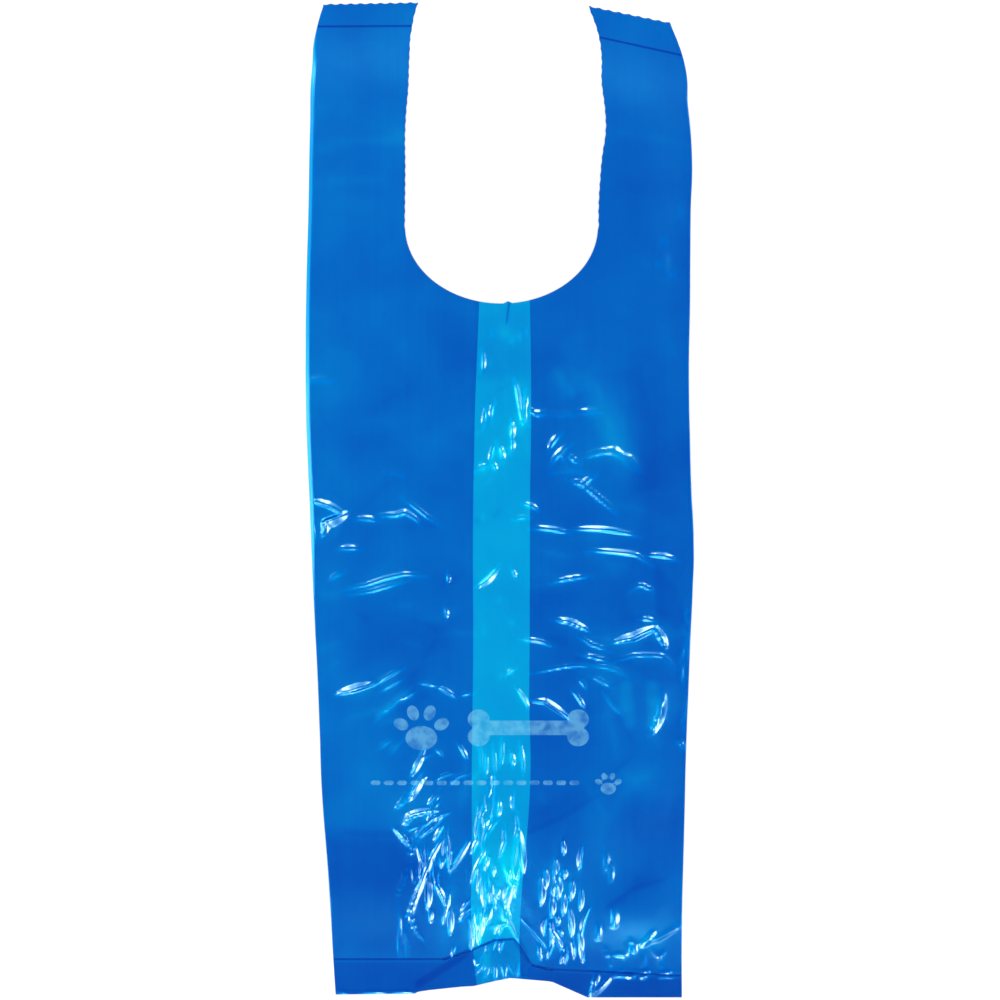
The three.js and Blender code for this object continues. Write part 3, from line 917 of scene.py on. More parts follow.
@dataclass
class FilmRelief:
    """How high each layer of the crumpled film lies, in millimetres above the floor.

    Attributes:
        floor_gap: Height of the back above the floor.
        loose_step: Height from one layer to the next where the film is loose.
        welded_step: The same in a weld.
        least_step: Least height of the front above the layer below it.
        pinch: Distances from a weld up to which the film is pinched and from which it is loose.
        seam: Distances from a weld between which creases rise to their full height.
        seam_share: Share of that height that they keep in the weld.
        side_start: Distance from an outer fold at which creases and swellings start to rise.
        side_reach: Distance from it at which creases have their full height.
        side_share: Share of that height that they keep on the fold.
        swell_reach: Distance from it at which swellings have their full height.
        swell_shares: How much of a swelling each layer adds to the one below.
        skirt_shade: Extra layers below the base weld.
        skirt_blur: Distances below the weld between which they set in.
        strip_shade: Extra layers on the strip of the back that shows at the left.
        strip_least: Width of that strip from which it is shaded.
        strip_margin: How far the shade stays off the strip's edge.
        shine_edge: Distances from the front's edges between which its glint sets in.
        seed: Where the random numbers start.
    """

    outline: BagOutline
    floor_gap: float = 0.05
    loose_step: float = 0.24
    welded_step: float = 0.03
    least_step: float = 0.03
    pinch: Pair = (0.3, 24.0)
    seam: Pair = (0.1, 1.2)
    seam_share: float = 0.25
    side_start: float = 0.2
    side_reach: float = 2.5
    side_share: float = 0.2
    swell_reach: float = 9.0
    swell_shares: tuple[float, ...] = (0.3, 0.2, 0.2, 0.3)
    skirt_shade: float = 1.2
    skirt_blur: Pair = (0.2, 1.5)
    strip_shade: float = 0.5
    strip_least: float = 0.3
    strip_margin: float = 0.02
    shine_edge: Pair = (0.1, 0.7)
    seed: int = 11

    def side_fade(self, x: Array, y: Array, reach: float) -> Array:
        """Give 0 on the bag's outer folds, rising to 1 at a reach inside them."""
        left, right = self.outline.left_fold_at(y), self.outline.right_fold_at(y)
        return ease(np.minimum(x - left, right - x), self.side_start, reach)

    def random_creases(self, patches: Sequence[CrumpleField], seed: int) -> list[Crease]:
        """Draw the creases of some patches from one row of random numbers."""
        rng = np.random.default_rng(seed)
        return [crease for patch in patches for crease in patch.creases(rng)]

    def crumple(self, x: Array, y: Array) -> tuple[Array, Array]:
        """Lay all sharp creases over each other.

        Args:
            x: Places across the bag.
            y: Places along the bag.

        Returns:
            The height of the creases at each point, and 1 where the film shows no glint.
        """
        relief, dull = np.zeros(x.shape), np.zeros(x.shape)
        drawn = self.random_creases(CRUMPLES, self.seed)
        for crease in [*CREASES, *CreaseFan().creases(), *drawn]:
            crease.lay(x, y, relief, dull)
        return relief, dull

    def layers(self, x: Array, y: Array, crumple: Array) -> list[Array]:
        """Give the heights of the four layers at each point.

        Args:
            x: Places across the bag.
            y: Places along the bag.
            crumple: Height of the creases at each point.

        Returns:
            The heights, from the back to the front.
        """
        weld_distance = abs(self.outline.weld_offset(x, y))
        loose = ease(weld_distance, *self.pinch)
        step = self.welded_step + (self.loose_step - self.welded_step) * loose
        swell = sum(billow.relief(x, y) for billow in BILLOWS) * loose
        swell *= self.side_fade(x, y, self.swell_reach)
        heights = [self.floor_gap + self.swell_shares[0] * swell]
        for share in self.swell_shares[1:]:
            heights.append(heights[-1] + step + share * swell)
        side = self.side_share + (1 - self.side_share) * self.side_fade(x, y, self.side_reach)
        seam = self.seam_share + (1 - self.seam_share) * ease(weld_distance, *self.seam)
        least = heights[-2] + self.least_step
        heights[-1] = np.maximum(heights[-1] + crumple * side * seam, least)
        return heights

    def shade(self, x: Array, y: Array) -> Array:
        """Give the painted shade at each point, in layers, with extra layers below the base weld and on
        the strip.

        Args:
            x: Places across the bag.
            y: Places along the bag.

        Returns:
            The layers, below zero where painted sheen makes the film paler.
        """
        # Painted shade along folds and on facets, and painted sheen where it is below zero.
        total = sum(mark.shade(x, y) for mark in (*SHADED_FOLDS, *SHADED_FACETS))
        peek = self.outline.peek(y)
        on_back = x - self.outline.left_fold_at(y) < peek - self.strip_margin
        total += np.where((peek > self.strip_least) & on_back, self.strip_shade, 0)
        below_weld = -self.outline.weld_offset(x, y)
        return total + self.skirt_shade * np.where(y < 0, ease(below_weld, *self.skirt_blur), 0)

    def painted_sheen(self, x: Array, y: Array) -> Array:
        """Give the painted sheen about the creases, those of the layers below included, at each point."""
        drawn = self.random_creases(SOFT_CRUMPLES, self.seed + 1)
        return sum(crease.glow(x, y) for crease in [*drawn, *CREASES])

    def crinkle(self, x: Array, y: Array) -> Array:
        """Give how much fine crinkle the film has, from 0 to 1."""
        return np.clip(sum(patch.relief(x, y) for patch in CRINKLED), 0, 1)

    def shine(self, x: Array, y: Array, dull: Array) -> Array:
        """Give how glossy the film looks.

        Args:
            x: Places across the bag.
            y: Places along the bag.
            dull: 1 on the steep sides of creases, else 0.

        Returns:
            1 where the film glints, 0 on its outer folds, on the strip and where it is dull.
        """
        left = x - self.outline.left_fold_at(y) - self.outline.peek(y)
        edge = np.minimum(left, self.outline.right_fold_at(y) - x)
        return ease(edge, *self.shine_edge) * (1 - dull)


def ellipse_depth(x: Array, y: Array, middle: Pair, size: Pair, turn: float = 0.0) -> Array:
    """Measure how deep points lie inside an ellipse.

    Args:
        x: Places across the bag.
        y: Places along the bag.
        middle: The ellipse's middle.
        size: Its two half sizes.
        turn: Direction of the first of them, in degrees.

    Returns:
        The depth of each point, negative outside the ellipse.
    """
    angle = math.radians(turn)
    dx, dy = x - middle[0], y - middle[1]
    along = (dx * math.cos(angle) + dy * math.sin(angle)) / size[0]
    across = (dy * math.cos(angle) - dx * math.sin(angle)) / size[1]
    return (1 - np.hypot(along, across)) * min(size)


def bar_depth(along: Array, across: Array, half_length: float, half_thickness: float) -> Array:
    """Measure how deep points lie inside a bar with round ends, negative outside it."""
    return half_thickness - np.hypot(np.maximum(abs(along) - half_length, 0), across)


@dataclass(frozen=True)
class Paw:
    """A paw mark: a pad and four toes, in shares of its size."""

    middle: Pair
    size: float
    pad: Pair = (0.55, 0.42)
    pad_drop: float = 0.3
    toe: Pair = (0.27, 0.2)
    toe_reach: float = 0.78
    toe_drop: float = 0.15
    toe_angles: tuple[float, ...] = (155.0, 112.0, 68.0, 25.0)

    def depth(self, x: Array, y: Array) -> Array:
        """Measure how deep points lie inside the mark.

        Args:
            x: Places across the bag.
            y: Places along the bag.

        Returns:
            The depth of each point, negative outside the mark.
        """
        (cx, cy), size = self.middle, self.size
        pad, toe = [(long * size, wide * size) for long, wide in (self.pad, self.toe)]
        depth = ellipse_depth(x, y, (cx, cy - self.pad_drop * size), pad)
        reach, foot = self.toe_reach * size, cy - self.toe_drop * size
        for angle in self.toe_angles:
            turn = math.radians(angle)
            middle = (cx + reach * math.cos(turn), foot + reach * math.sin(turn))
            depth = np.maximum(depth, ellipse_depth(x, y, middle, toe, angle))
        return depth


@dataclass(frozen=True)
class Bone:
    """A bone: a bar with two knobs at each end."""

    middle: Pair = (9.5, -75.5)
    half_length: float = 15.0
    half_thickness: float = 2.4
    knob_at: Pair = (16.5, 2.9)
    knob_size: Pair = (3.6, 3.2)

    def depth(self, x: Array, y: Array) -> Array:
        """Measure how deep points lie inside the bone.

        Args:
            x: Places across the bag.
            y: Places along the bag.

        Returns:
            The depth of each point, negative outside the bone.
        """
        right, up = x - self.middle[0], y - self.middle[1]
        depth = bar_depth(right, up, self.half_length, self.half_thickness)
        knob = ellipse_depth(abs(right), abs(up), self.knob_at, self.knob_size)
        return np.maximum(depth, knob)


@dataclass(frozen=True)
class Dashes:
    """A level row of dashes with round ends."""

    start: float = -43.4
    end: float = 27.0
    y: float = -93.7
    pitch: float = 4.4
    half_length: float = 0.9
    half_thickness: float = 0.75
    outside: float = -1.0

    def depth(self, x: Array, y: Array) -> Array:
        """Measure how deep points lie inside a dash.

        Args:
            x: Places across the bag.
            y: Places along the bag.

        Returns:
            The depth of each point, negative outside the dashes.
        """
        along = (x - self.end) % self.pitch - self.pitch / 2
        depth = bar_depth(along, y - self.y, self.half_length, self.half_thickness)
        return np.where((x > self.start) & (x < self.end), depth, self.outside)


PRINT = (Paw((-26.0, -76.0), 9.5), Bone(), Dashes(), Paw((36.0, -94.2), 4.6))


class Note(Enum):
    """What is noted on every vertex of the film, in threes."""

    PLACE = "film_place"
    MARKS = "film_marks"
    TUCKS = "film_tucks"
    # Painted shade, painted sheen and where the coat shines.
    TONE = "film_tone"


def note(piece: bpy.types.Object, name: Note, *parts: Array) -> None:
    """Note three numbers on every vertex of a piece.

    Args:
        piece: The piece.
        name: The note, by which a material reads them.
        *parts: The three numbers, one array each.
    """
    made = piece.data.attributes.new(name.value, "FLOAT_VECTOR", "POINT")
    made.data.foreach_set("vector", np.stack(parts, 1).astype(np.float32).ravel())


def even_steps(count: int) -> Array:
    """Give even steps from 0 to just before 1."""
    return np.linspace(0, 1, count, endpoint=False)


def deselect() -> None:
    """Leave nothing selected."""
    bpy.ops.object.select_all(action="DESELECT")


def vertex_places(piece: bpy.types.Object) -> Array:
    """Read the places of a mesh's vertices.

    Args:
        piece: The piece whose mesh it is.

    Returns:
        The places, one row each.
    """
    co = np.zeros(len(piece.data.vertices) * 3)
    piece.data.vertices.foreach_get("co", co)
    return co.reshape(-1, 3)


def set_vertex_places(piece: bpy.types.Object, places: Array) -> None:
    """Move a mesh's vertices."""
    piece.data.vertices.foreach_set("co", places.astype(np.float32).ravel())
    piece.data.update()


def select_faces(piece: bpy.types.Object, chosen: Array) -> None:
    """Select some of a mesh's faces and nothing else.

    Args:
        piece: The piece whose mesh it is.
        chosen: True for each face that is selected.
    """
    bpy.ops.object.mode_set(mode="EDIT")
    bpy.ops.mesh.select_all(action="DESELECT")
    bpy.ops.object.mode_set(mode="OBJECT")
    piece.data.polygons.foreach_set("select", chosen)


def face_slots(piece: bpy.types.Object) -> Array:
    """Read the material slots of a mesh's faces.

    Args:
        piece: The piece whose mesh it is.

    Returns:
        The number of each face's slot.
    """
    slots = np.zeros(len(piece.data.polygons), dtype=np.int32)
    piece.data.polygons.foreach_get("material_index", slots)
    return slots


@dataclass
class FilmBag:
    """The bag's film: one flat grid folded into the gusseted tube, cut, and crumpled."""

    outline: BagOutline
    relief: FilmRelief
    name: str = "bag_film_sheet"
    front_columns: int = 206
    leaf_columns: int = 5
    back_columns: int = 8
    fold_steps: int = 3
    fold_depth: float = 0.16
    fold_margin: float = 0.002
    front_spacing: Points = ((0.0, 0.0), (0.17, 0.25), (0.83, 0.74), (1.0, 1.0))
    row_steps: Points = ((-165.0, 0.54), (-60.0, 0.62), (0.0, 0.9), (50.0, 2.6), (165.0, 0.0))
    join_distance: float = 1e-4
    blade_slot: int = 1
    blade_foot: float = -1.0
    blade_height: float = 5.0
    far: float = 9.0
    columns: list[tuple[Array, float]] = field(default_factory=list)

    def row_shares(self) -> Array:
        """Space the rows of the film, close together where it is crumpled.

        Returns:
            Each row's share of the length from the base edge.
        """
        length = self.outline.length
        stretches = []
        for (start, step), (end, _) in zip(self.row_steps, self.row_steps[1:]):
            count = round((end - start) / step)
            stretches.append(np.linspace(start, end, count, endpoint=False))
        return np.concatenate([*stretches, [length / 2]]) / length + 0.5

    def add_panel(self, layer: Layer, start: Array, end: Array, shares: Array) -> None:
        """Add the columns of a flat panel that runs from one fold to another.

        Args:
            layer: The layer in which the panel lies.
            start: Place of the first fold across the bag, for each row.
            end: Place of the other fold.
            shares: Share of the panel's width at which each column stands.
        """
        for share in shares:
            self.columns.append((start + (end - start) * share, float(layer.value)))

    def add_fold(self, edge: Array, start: Layer, end: Layer, side: int) -> None:
        """Add the columns of a fold.

        Args:
            edge: The fold's outermost place across the bag, for each row.
            start: The layer that runs into the fold.
            end: The layer that leaves it.
            side: 1 if the fold points to the right, -1 if it points to the left.
        """
        middle = (start.value + end.value) / 2
        rise = (start.value - end.value) / 2
        for i in range(self.fold_steps):
            turn = math.pi * i / self.fold_steps
            place = edge - side * self.fold_depth * (1 - math.sin(turn))
            self.columns.append((place, middle + rise * math.cos(turn)))

    def fold_tube(self, shares: Array) -> None:
        """Lay out the columns once round the tube, from the left of the front panel.

        Args:
            shares: Each row's share of the length from the base edge.
        """
        shape = self.outline
        left = shape.fold_x(shape.left_fold_at, shares)
        right = shape.fold_x(shape.right_fold_at, shares)
        left_in = shape.fold_x(shape.left_inner_at, shares)
        right_in = shape.fold_x(shape.right_inner_at, shares)
        front_left = left + shape.peek(shape.row_y(shares, left))
        depth, margin = self.fold_depth, self.fold_margin
        front, upper, lower, back = Layer.FRONT, Layer.UPPER_LEAF, Layer.LOWER_LEAF, Layer.BACK
        inner_steps = broken_line(self.front_spacing)(even_steps(self.front_columns))[1:]
        front_steps = np.concatenate([[0, margin], inner_steps, [1 - margin]])
        leaf = even_steps(self.leaf_columns)
        self.add_panel(front, front_left + depth, right - depth, front_steps)
        self.add_fold(right, front, upper, 1)
        self.add_panel(upper, right - depth, right_in + depth, leaf)
        self.add_fold(right_in, upper, lower, -1)
        self.add_panel(lower, right_in + depth, right - depth, leaf)
        self.add_fold(right, lower, back, 1)
        self.add_panel(back, right - depth, left + depth, even_steps(self.back_columns))
        self.add_fold(left, back, lower, -1)
        self.add_panel(lower, left + depth, left_in - depth, leaf)
        self.add_fold(left_in, lower, upper, 1)
        self.add_panel(upper, left_in - depth, front_left + depth, leaf)
        self.add_fold(front_left, upper, front, -1)

    def lay_sheet(self) -> bpy.types.Object:
        """Add the flat grid of film and fold it, with one millimetre between its layers.

        Returns:
            The folded film, closed round the tube.
        """
        shares = self.row_shares()
        self.fold_tube(shares)
        deselect()
        around, along = len(self.columns), len(shares) - 1
        bpy.ops.mesh.primitive_grid_add(x_subdivisions=around, y_subdivisions=along, size=1)
        sheet = bpy.context.object
        sheet.name = self.name
        co = vertex_places(sheet)
        column = np.rint((co[:, 0] + 0.5) * around).astype(int) % around
        row = np.rint((co[:, 1] + 0.5) * along).astype(int)
        across = np.array([place for place, _ in self.columns])
        level = np.array([height for _, height in self.columns])
        x = across[column, row]
        y = self.outline.row_y(shares[row], x)
        set_vertex_places(sheet, np.stack([x, y, level[column]], 1))
        bpy.ops.object.mode_set(mode="EDIT")
        bpy.ops.mesh.select_all(action="SELECT")
        bpy.ops.mesh.remove_doubles(threshold=self.join_distance)
        bpy.ops.object.mode_set(mode="OBJECT")
        return sheet

    def cut(self, sheet: bpy.types.Object, outline: Array) -> None:
        """Cut a shape out of all layers of the folded film.

        Args:
            sheet: The folded film.
            outline: Corners of the shape, one row each.
        """
        slots = [bpy.data.materials.new(name) for name in ("film_side", "blade_side")]
        blade = self.blade(outline)
        for part in (sheet, blade):
            for slot in slots:
                part.data.materials.append(slot)
        in_slot = [self.blade_slot] * len(blade.data.polygons)
        blade.data.polygons.foreach_set("material_index", in_slot)
        deselect()
        bpy.context.view_layer.objects.active = sheet
        cutting = sheet.modifiers.new("cut", "BOOLEAN")
        cutting.operation = "DIFFERENCE"
        cutting.solver = "EXACT"
        cutting.object = blade
        bpy.ops.object.modifier_apply(modifier=cutting.name)
        select_faces(sheet, face_slots(sheet) == self.blade_slot)
        bpy.ops.object.mode_set(mode="EDIT")
        bpy.ops.mesh.delete(type="FACE")
        bpy.ops.mesh.select_all(action="SELECT")
        bpy.ops.mesh.delete_loose(use_verts=True, use_edges=True, use_faces=False)
        bpy.ops.object.mode_set(mode="OBJECT")
        sheet.data.materials.clear()
        for slot in slots:
            bpy.data.materials.remove(slot)
        bpy.data.objects.remove(blade)

    def blade(self, outline: Array) -> bpy.types.Object:
        """Raise the solid that cuts a shape out of the film.

        Args:
            outline: Corners of the shape, one row each.

        Returns:
            A prism that reaches from below the film to above it.
        """
        deselect()
        bpy.ops.mesh.primitive_circle_add(vertices=len(outline), fill_type="NGON")
        blade = bpy.context.object
        foot = np.full((len(outline), 1), self.blade_foot)
        set_vertex_places(blade, np.concatenate([outline, foot], 1))
        bpy.ops.object.mode_set(mode="EDIT")
        bpy.ops.mesh.select_all(action="SELECT")
        bpy.ops.mesh.extrude_region_move(TRANSFORM_OT_translate={"value": (0, 0, self.blade_height)})
        bpy.ops.mesh.select_all(action="SELECT")
        bpy.ops.mesh.normals_make_consistent(inside=False)
        bpy.ops.object.mode_set(mode="OBJECT")
        return blade

    def crumple(self, sheet: bpy.types.Object) -> None:
        """Lift the film into its crumpled shape and note on it what its material reads.

        Args:
            sheet: The folded and cut film.
        """
        shape, relief = self.outline, self.relief
        x, y, level = vertex_places(sheet).T
        creased, dull = relief.crumple(x, y)
        heights = np.stack(relief.layers(x, y, creased))
        under = np.clip(np.floor(level), 0, len(Layer) - 2).astype(int)
        rest = level - under
        index = np.arange(len(x))
        z = heights[under, index] * (1 - rest) + heights[under + 1, index] * rest
        left, right = shape.left_fold_at(y), shape.right_fold_at(y)
        fold = np.minimum(x - left, right - x)
        printed = np.maximum.reduce([mark.depth(x, y) for mark in PRINT])
        tuck = np.maximum(shape.left_inner_at(y) - x, x - shape.right_inner_at(y))
        in_upper_half = level > (len(Layer) - 1) / 2
        peek = np.where(in_upper_half, self.far, x - left - shape.peek(y))
        note(sheet, Note.PLACE, x, y, level)
        note(sheet, Note.MARKS, shape.weld_offset(x, y), fold, printed)
        note(sheet, Note.TUCKS, tuck, peek, relief.crinkle(x, y))
        # The last note holds painted shade, painted sheen and where the coat shines.
        note(sheet, Note.TONE, relief.shade(x, y), relief.painted_sheen(x, y), relief.shine(x, y, dull))
        set_vertex_places(sheet, np.stack([x, y, z], 1) * MM)

    def build(self) -> bpy.types.Object:
        """Make the finished film.

        Returns:
            The film, in metres, without a material.
        """
        sheet = self.lay_sheet()
        self.cut(sheet, self.outline.cut_outline())
        self.cut(sheet, self.outline.top_outline())
        self.crumple(sheet)
        deselect()
        sheet.select_set(True)
        bpy.context.view_layer.objects.active = sheet
        bpy.ops.object.shade_smooth()
        return sheet


Number = Union[float, "Value"]
Colour = tuple[float, float, float, float]


# Sockets of the Mix node that take and give colours.
MIX_FIRST, MIX_SECOND, MIX_RESULT = 6, 7, 2


class Value:
    """A number in a material's nodes, on which Python's operators add Math nodes."""

    def __init__(self, nodes: "Nodes", socket: bpy.types.NodeSocket) -> None:
        """Wrap an output socket."""
        self.nodes = nodes
        self.socket = socket

    def __add__(self, other: Number) -> "Value":
        """Add."""
        return self.nodes.math("ADD", self, other)

    def __radd__(self, other: Number) -> "Value":
        """Add to a number."""
        return self.nodes.math("ADD", other, self)

    def __sub__(self, other: Number) -> "Value":
        """Subtract."""
        return self.nodes.math("SUBTRACT", self, other)

    def __rsub__(self, other: Number) -> "Value":
        """Subtract from a number."""
        return self.nodes.math("SUBTRACT", other, self)

    def __mul__(self, other: Number) -> "Value":
        """Multiply."""
        return self.nodes.math("MULTIPLY", self, other)

    def __rmul__(self, other: Number) -> "Value":
        """Multiply a number."""
        return self.nodes.math("MULTIPLY", other, self)

    def __rpow__(self, other: Number) -> "Value":
        """Raise a number to this power."""
        return self.nodes.math("POWER", other, self)

    def __abs__(self) -> "Value":
        """Take the size without the sign."""
        return self.nodes.math("ABSOLUTE", self)

    def ease(self, low: float, high: float) -> "Value":
        """Rise smoothly from 0 to 1, or fall where high is the lower.

        Args:
            low: Where the result is 0.
            high: Where it is 1.

        Returns:
            The result.
        """
        settings = {"interpolation_type": "SMOOTHSTEP"}
        sign = 1.0 if high > low else -1.0
        sockets = {"Value": self * sign, "From Min": low * sign, "From Max": high * sign}
        return self.nodes.add("ShaderNodeMapRange", settings, sockets, "Result")


@dataclass(frozen=True)
class Pattern:
    """A noise pattern: how often it changes in a millimetre along each axis, and its detail."""

    scale: tuple[float, float, float]
    detail: float


class Nodes:
    """The node tree of one material."""

    def __init__(self, name: str) -> None:
        """Start an empty material.

        Args:
            name: The material's name.
        """
        self.material = bpy.data.materials.new(name)
        self.material.use_nodes = True
        self.tree = self.material.node_tree
        self.tree.nodes.clear()

    def node(self, kind: str, settings: dict, sockets: dict) -> bpy.types.Node:
        """Add a node.

        Args:
            kind: The node's type.
            settings: Its settings, which are set first.
            sockets: Values or links of its input sockets, by name or place.

        Returns:
            The node.
        """
        made = self.tree.nodes.new(kind)
        for name, value in settings.items():
            setattr(made, name, value)
        for key, value in sockets.items():
            if isinstance(value, Value):
                value = value.socket
            if isinstance(value, bpy.types.NodeSocket):
                self.tree.links.new(value, made.inputs[key])
            else:
                made.inputs[key].default_value = value
        return made

    def add(self, kind: str, settings: dict, sockets: dict, output: Union[str, int] = 0) -> Value:
        """Add a node and give one of its outputs."""
        return Value(self, self.node(kind, settings, sockets).outputs[output])

    def math(self, operation: str, *values: Number) -> Value:
        """Add a Math node."""
        return self.add("ShaderNodeMath", {"operation": operation}, dict(enumerate(values)), "Value")

    def note(self, name: Note) -> bpy.types.NodeSocket:
        """Read a note on the piece."""
        return self.node("ShaderNodeAttribute", {"attribute_name": name.value}, {}).outputs["Vector"]

    def parts(self, vector: bpy.types.NodeSocket) -> list[Value]:
        """Take the three numbers of a vector apart."""
        split = self.node("ShaderNodeSeparateXYZ", {}, {"Vector": vector})
        return [Value(self, output) for output in split.outputs]

    def noise(self, place: bpy.types.NodeSocket, pattern: Pattern) -> Value:
        """Add a noise pattern.

        Args:
            place: Where on the flat film each point lies.
            pattern: The pattern.

        Returns:
            The noise, about 0.5 on average.
        """
        spread = self.add("ShaderNodeMapping", {}, {"Vector": place, "Scale": pattern.scale})
        sockets = {"Vector": spread, "Scale": 1.0, "Detail": pattern.detail}
        return self.add("ShaderNodeTexNoise", {}, sockets, "Fac")

    def colour(self, red: Number, green: Number, blue: Number) -> Value:
        """Put a colour together."""
        return self.add("ShaderNodeCombineColor", {}, {"Red": red, "Green": green, "Blue": blue}, "Color")

    def blend(self, share: Value, first: Value, second: Colour) -> Value:
        """Blend a share of one colour into another."""
        sockets = {0: share, MIX_FIRST: first, MIX_SECOND: second}
        return self.add("ShaderNodeMix", {"data_type": "RGBA"}, sockets, MIX_RESULT)

    def finish(self, surface: Value) -> bpy.types.Material:
        """Connect the surface and give the material."""
        self.node("ShaderNodeOutputMaterial", {}, {"Surface": surface})
        return self.material


@dataclass(frozen=True)
class FilmFinish:
    """Glossy blue film, darker where more layers of it lie over each other, with painted shade and sheen.

    Attributes:
        green_kept: Share of the green light that a layer leaves. Red light is lost.
        blue_kept: Share of the blue light that a layer leaves.
        open_layers: Layers where front and back lie over each other.
        tucked_layers: Layers that the gusset adds.
        even_share: Part of the layers' density that is the same everywhere. Two noises add to it, and
            rightward_share makes the film darker towards the right.
        sheen_paling: How many layers paler the painted sheen about creases makes the film.
        weld_layers: Extra layers on a weld's line.
        weld_line: Distances from the line at which they are none and all.
        fold_layers: Extra layers on the outer folds.
        fold_line: Distances from a fold at which they are none and all.
        slope_shade_layers: Painted shade, in extra layers, where the film stands upright.
        ink_share: Least and greatest share of ink in the film's colour.
        ink_wear: Where the noise lets ink start to show and show in full.
    """

    name: str = "blue_film"
    green_kept: float = 0.593
    blue_kept: float = 0.865
    open_layers: float = 2.0
    tucked_layers: float = 2.0
    tuck_blur: float = 0.08
    strip_blur: float = 0.1
    even_share: float = 0.7
    cloud_share: float = 0.54
    flow_share: float = 0.08
    rightward_share: float = 0.0012
    sheen_paling: float = 1.5
    weld_layers: float = 2.6
    weld_line: Pair = (0.45, 0.25)
    fold_layers: float = 0.9
    fold_line: Pair = (0.55, 0.15)
    slope_shade_layers: float = 8.0
    ink: Colour = (0.25, 0.75, 1.0, 1.0)
    ink_blur: float = 0.12
    ink_share: Pair = (0.12, 0.42)
    ink_wear: Pair = (0.3, 0.66)
    cloud: Pattern = Pattern((0.035, 0.035, 0.3), 4.0)
    flow: Pattern = Pattern((0.6, 0.012, 0.3), 2.0)
    grain: Pattern = Pattern((0.3, 0.3, 0.3), 4.0)
    needles: Pattern = Pattern((1.1, 0.35, 0.3), 3.0)
    needle_depth: float = 0.15
    grain_height: float = 0.15
    flow_height: float = 0.03
    least_shine: float = 0.05
    roughness: float = 0.22
    ior: float = 2.0
    tint: Colour = (0.0, 0.6, 1.0, 1.0)
    coat_roughness: float = 0.1
    coat_ior: float = 2.15

    def material(self) -> bpy.types.Material:
        """Make the film's material.

        Returns:
            The material, which reads the notes on the film.
        """
        nodes = Nodes(self.name)
        place = nodes.note(Note.PLACE)
        right = nodes.parts(place)[0]
        weld, fold, printed = nodes.parts(nodes.note(Note.MARKS))
        tuck, peek, crinkled = nodes.parts(nodes.note(Note.TUCKS))
        # The painted shade, the painted sheen about creases, and where the coat shines.
        shade, glint, shine = nodes.parts(nodes.note(Note.TONE))
        cloud, flow = nodes.noise(place, self.cloud), nodes.noise(place, self.flow)
        grain, needles = nodes.noise(place, self.grain), nodes.noise(place, self.needles)

        on_front = peek.ease(-self.strip_blur, self.strip_blur)
        tucked = tuck.ease(-self.tuck_blur, self.tuck_blur) * on_front
        density = self.even_share + self.cloud_share * cloud + self.flow_share * flow
        density = density + self.rightward_share * right
        layers = (self.open_layers + self.tucked_layers * tucked) * density
        # Painted shade and painted sheen, as layers more or fewer.
        layers = layers + shade - self.sheen_paling * glint
        layers = layers + self.weld_layers * abs(weld).ease(*self.weld_line)
        layers = layers + self.fold_layers * fold.ease(*self.fold_line) * tucked
        # Painted shade where the film stands upright.
        up = abs(nodes.parts(nodes.node("ShaderNodeNewGeometry", {}, {}).outputs["Normal"])[2])
        layers = layers + self.slope_shade_layers * (1.0 - up)

        film = nodes.colour(0.0, self.green_kept ** layers, self.blue_kept ** layers)
        least, most = self.ink_share
        wear = grain.ease(*self.ink_wear) * (most - least) + least
        ink = printed.ease(-self.ink_blur, self.ink_blur) * wear
        height = self.grain_height * grain * crinkled + self.flow_height * flow
        height = height - self.needle_depth * abs(needles - 0.5) * crinkled
        bump = {"Height": height, "Strength": 1.0, "Distance": MM}
        looks = {
            "Base Color": nodes.blend(ink, film, self.ink),
            "Roughness": self.roughness,
            "IOR": self.ior,
            "Specular IOR Level": 1.0,
            "Specular Tint": self.tint,
            "Coat Weight": shine * (1.0 - self.least_shine) + self.least_shine,
            "Coat Roughness": self.coat_roughness,
            "Coat IOR": self.coat_ior,
            "Normal": nodes.add("ShaderNodeBump", {}, bump, "Normal"),
        }
        return nodes.finish(nodes.add("ShaderNodeBsdfPrincipled", {}, looks))


@dataclass(frozen=True)
class FloorFinish:
    """A plain white floor that is as pale as the photograph's ground."""

    name: str = "white_floor"
    colour: Colour = (0.9, 0.9, 0.9, 1.0)
    glow: Colour = (1.0, 1.0, 1.0, 1.0)
    seen_glow: float = 0.55
    seen_by: tuple[str, ...] = ("Camera", "Glossy", "Transmission")

    def material(self) -> bpy.types.Material:
        """Make the floor's material.

        Returns:
            The material, which glows a little where the camera sees it, also in a reflection.
        """
        nodes = Nodes(self.name)
        matt = nodes.add("ShaderNodeBsdfDiffuse", {}, {"Color": self.colour})
        glow = nodes.add("ShaderNodeEmission", {}, {"Color": self.glow, "Strength": 1.0})
        rays = nodes.node("ShaderNodeLightPath", {}, {}).outputs
        camera, glossy, clear = [Value(nodes, rays[f"Is {ray} Ray"]) for ray in self.seen_by]
        share = (camera + glossy + clear) * self.seen_glow
        return nodes.finish(nodes.add("ShaderNodeMixShader", {}, {0: share, 1: matt, 2: glow}))


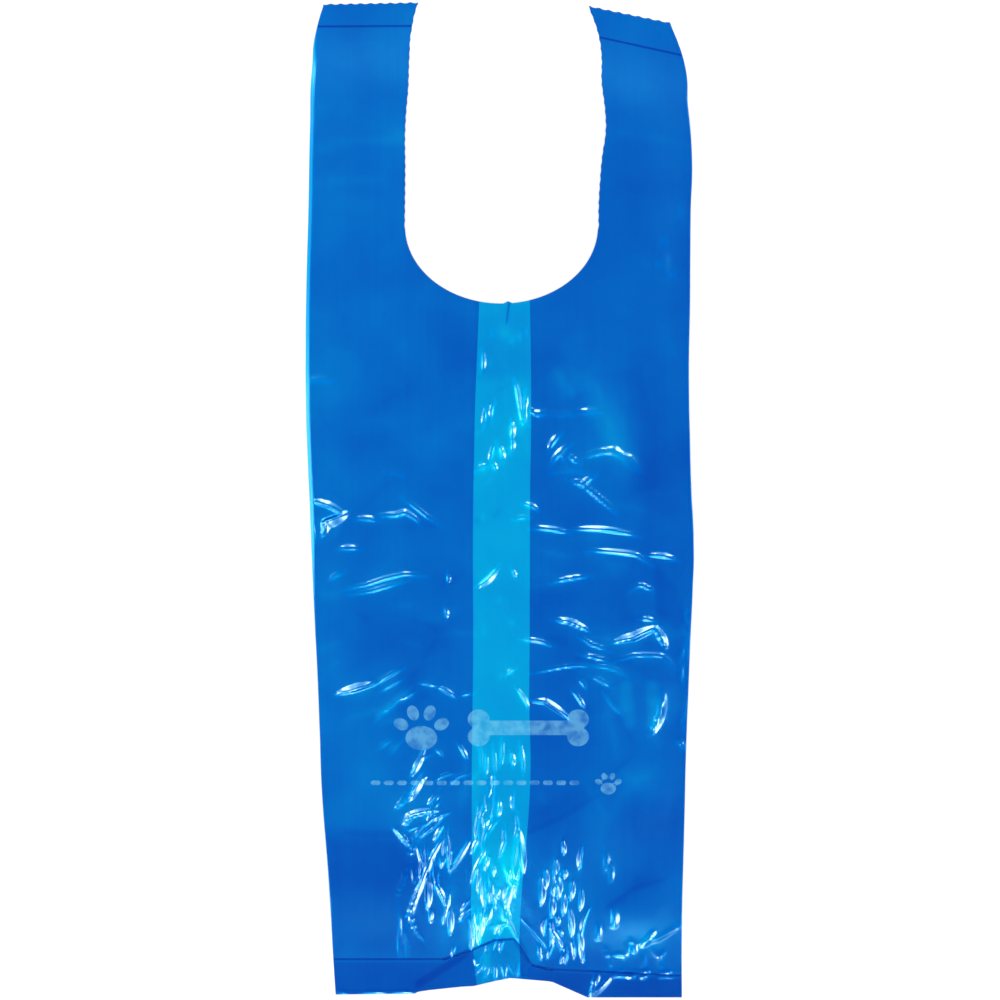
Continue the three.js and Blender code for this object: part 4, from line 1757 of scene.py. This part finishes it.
@dataclass
class Studio:
    """The pale floor, the soft lamps and the camera straight above the bag, in metres."""

    floor_size: float = 3.0
    view_width: float = 0.3317
    lens: float = 90.0
    sensor: float = 36.0
    off_centre: float = 0.0001
    film_top: float = 0.001
    lamp_distance: float = 1.1
    lamp_step: float = 0.01
    lamp_lean: float = 44.0
    lamp_count: int = 8
    lamp_rings: tuple[tuple[float, float, float], ...] = (
        (0.52, 0.63, 0.4), (0.34, 0.63, 0.8), (0.18, 0.63, 1.8),
    )
    sky: float = 0.012
    white: Colour = (1.0, 1.0, 1.0, 1.0)

    def floor(self) -> None:
        """Lay the floor."""
        deselect()
        bpy.ops.mesh.primitive_plane_add(size=self.floor_size, location=(0, 0, 0))
        floor = bpy.context.object
        floor.name = "floor"
        floor.data.materials.append(FloorFinish().material())

    def lamps(self) -> None:
        """Hang a ring of soft lamps round the bag, each brighter towards its middle."""
        for i in range(self.lamp_count):
            turn = 360 * i / self.lamp_count
            for j, (wide, long, power) in enumerate(self.lamp_rings):
                distance = self.lamp_distance - self.lamp_step * j
                self.lamp(f"lamp_{i}_{j}", turn, distance, (wide, long), power)

    def lamp(self, name: str, turn: float, distance: float, size: Pair, power: float) -> None:
        """Hang a flat lamp that faces the bag.

        Args:
            name: The lamp's name.
            turn: Direction in which it hangs, in degrees round the bag.
            distance: Its distance from the bag.
            size: Its upright and level size.
            power: Its power in watts.
        """
        lean, around = math.radians(self.lamp_lean), math.radians(turn)
        data = bpy.data.lights.new(name, "AREA")
        data.shape = "RECTANGLE"
        data.size, data.size_y = size
        data.energy = power
        lamp = bpy.data.objects.new(name, data)
        level = Vector((math.cos(around), math.sin(around), 0)) * math.sin(lean)
        away = level + Vector((0, 0, math.cos(lean)))
        lamp.location = away * distance
        lamp.rotation_euler = away.to_track_quat("Z", "Y").to_euler()
        bpy.context.scene.collection.objects.link(lamp)

    def camera(self) -> None:
        """Set the camera straight above the bag, as in the photograph."""
        data = bpy.data.cameras.new("camera")
        data.lens = self.lens
        data.sensor_width = self.sensor
        camera = bpy.data.objects.new("camera", data)
        height = self.view_width * self.lens / self.sensor + self.film_top
        camera.location = (self.off_centre, self.off_centre, height)
        bpy.context.scene.collection.objects.link(camera)
        bpy.context.scene.camera = camera

    def world(self) -> None:
        """Give the surroundings a faint even light."""
        world = bpy.data.worlds.new("surroundings")
        world.use_nodes = True
        light = world.node_tree.nodes["Background"].inputs
        light["Color"].default_value = self.white
        light["Strength"].default_value = self.sky
        bpy.context.scene.world = world

    def build(self) -> None:
        """Set up the whole studio."""
        self.floor()
        self.lamps()
        self.camera()
        self.world()
        bpy.context.scene.view_settings.view_transform = "Standard"


def main() -> None:
    """Build the bag's film and the studio, and report each piece."""
    logging.basicConfig(level=logging.INFO, format="%(message)s")
    low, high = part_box("bag_film")
    outline = BagOutline(length=(high.y - low.y) / MM, width=(high.x - low.x) / MM)
    bag = FilmBag(outline, FilmRelief(outline)).build()
    bag.data.materials.append(FilmFinish().material())
    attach(bag, "root")
    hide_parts("bag_film")
    LOG.info("film: %d triangles", sum(len(face.vertices) - 2 for face in bag.data.polygons))
    Studio().build()
    LOG.info("studio: floor, lamps and camera")


if __name__ == "__main__":
    main()
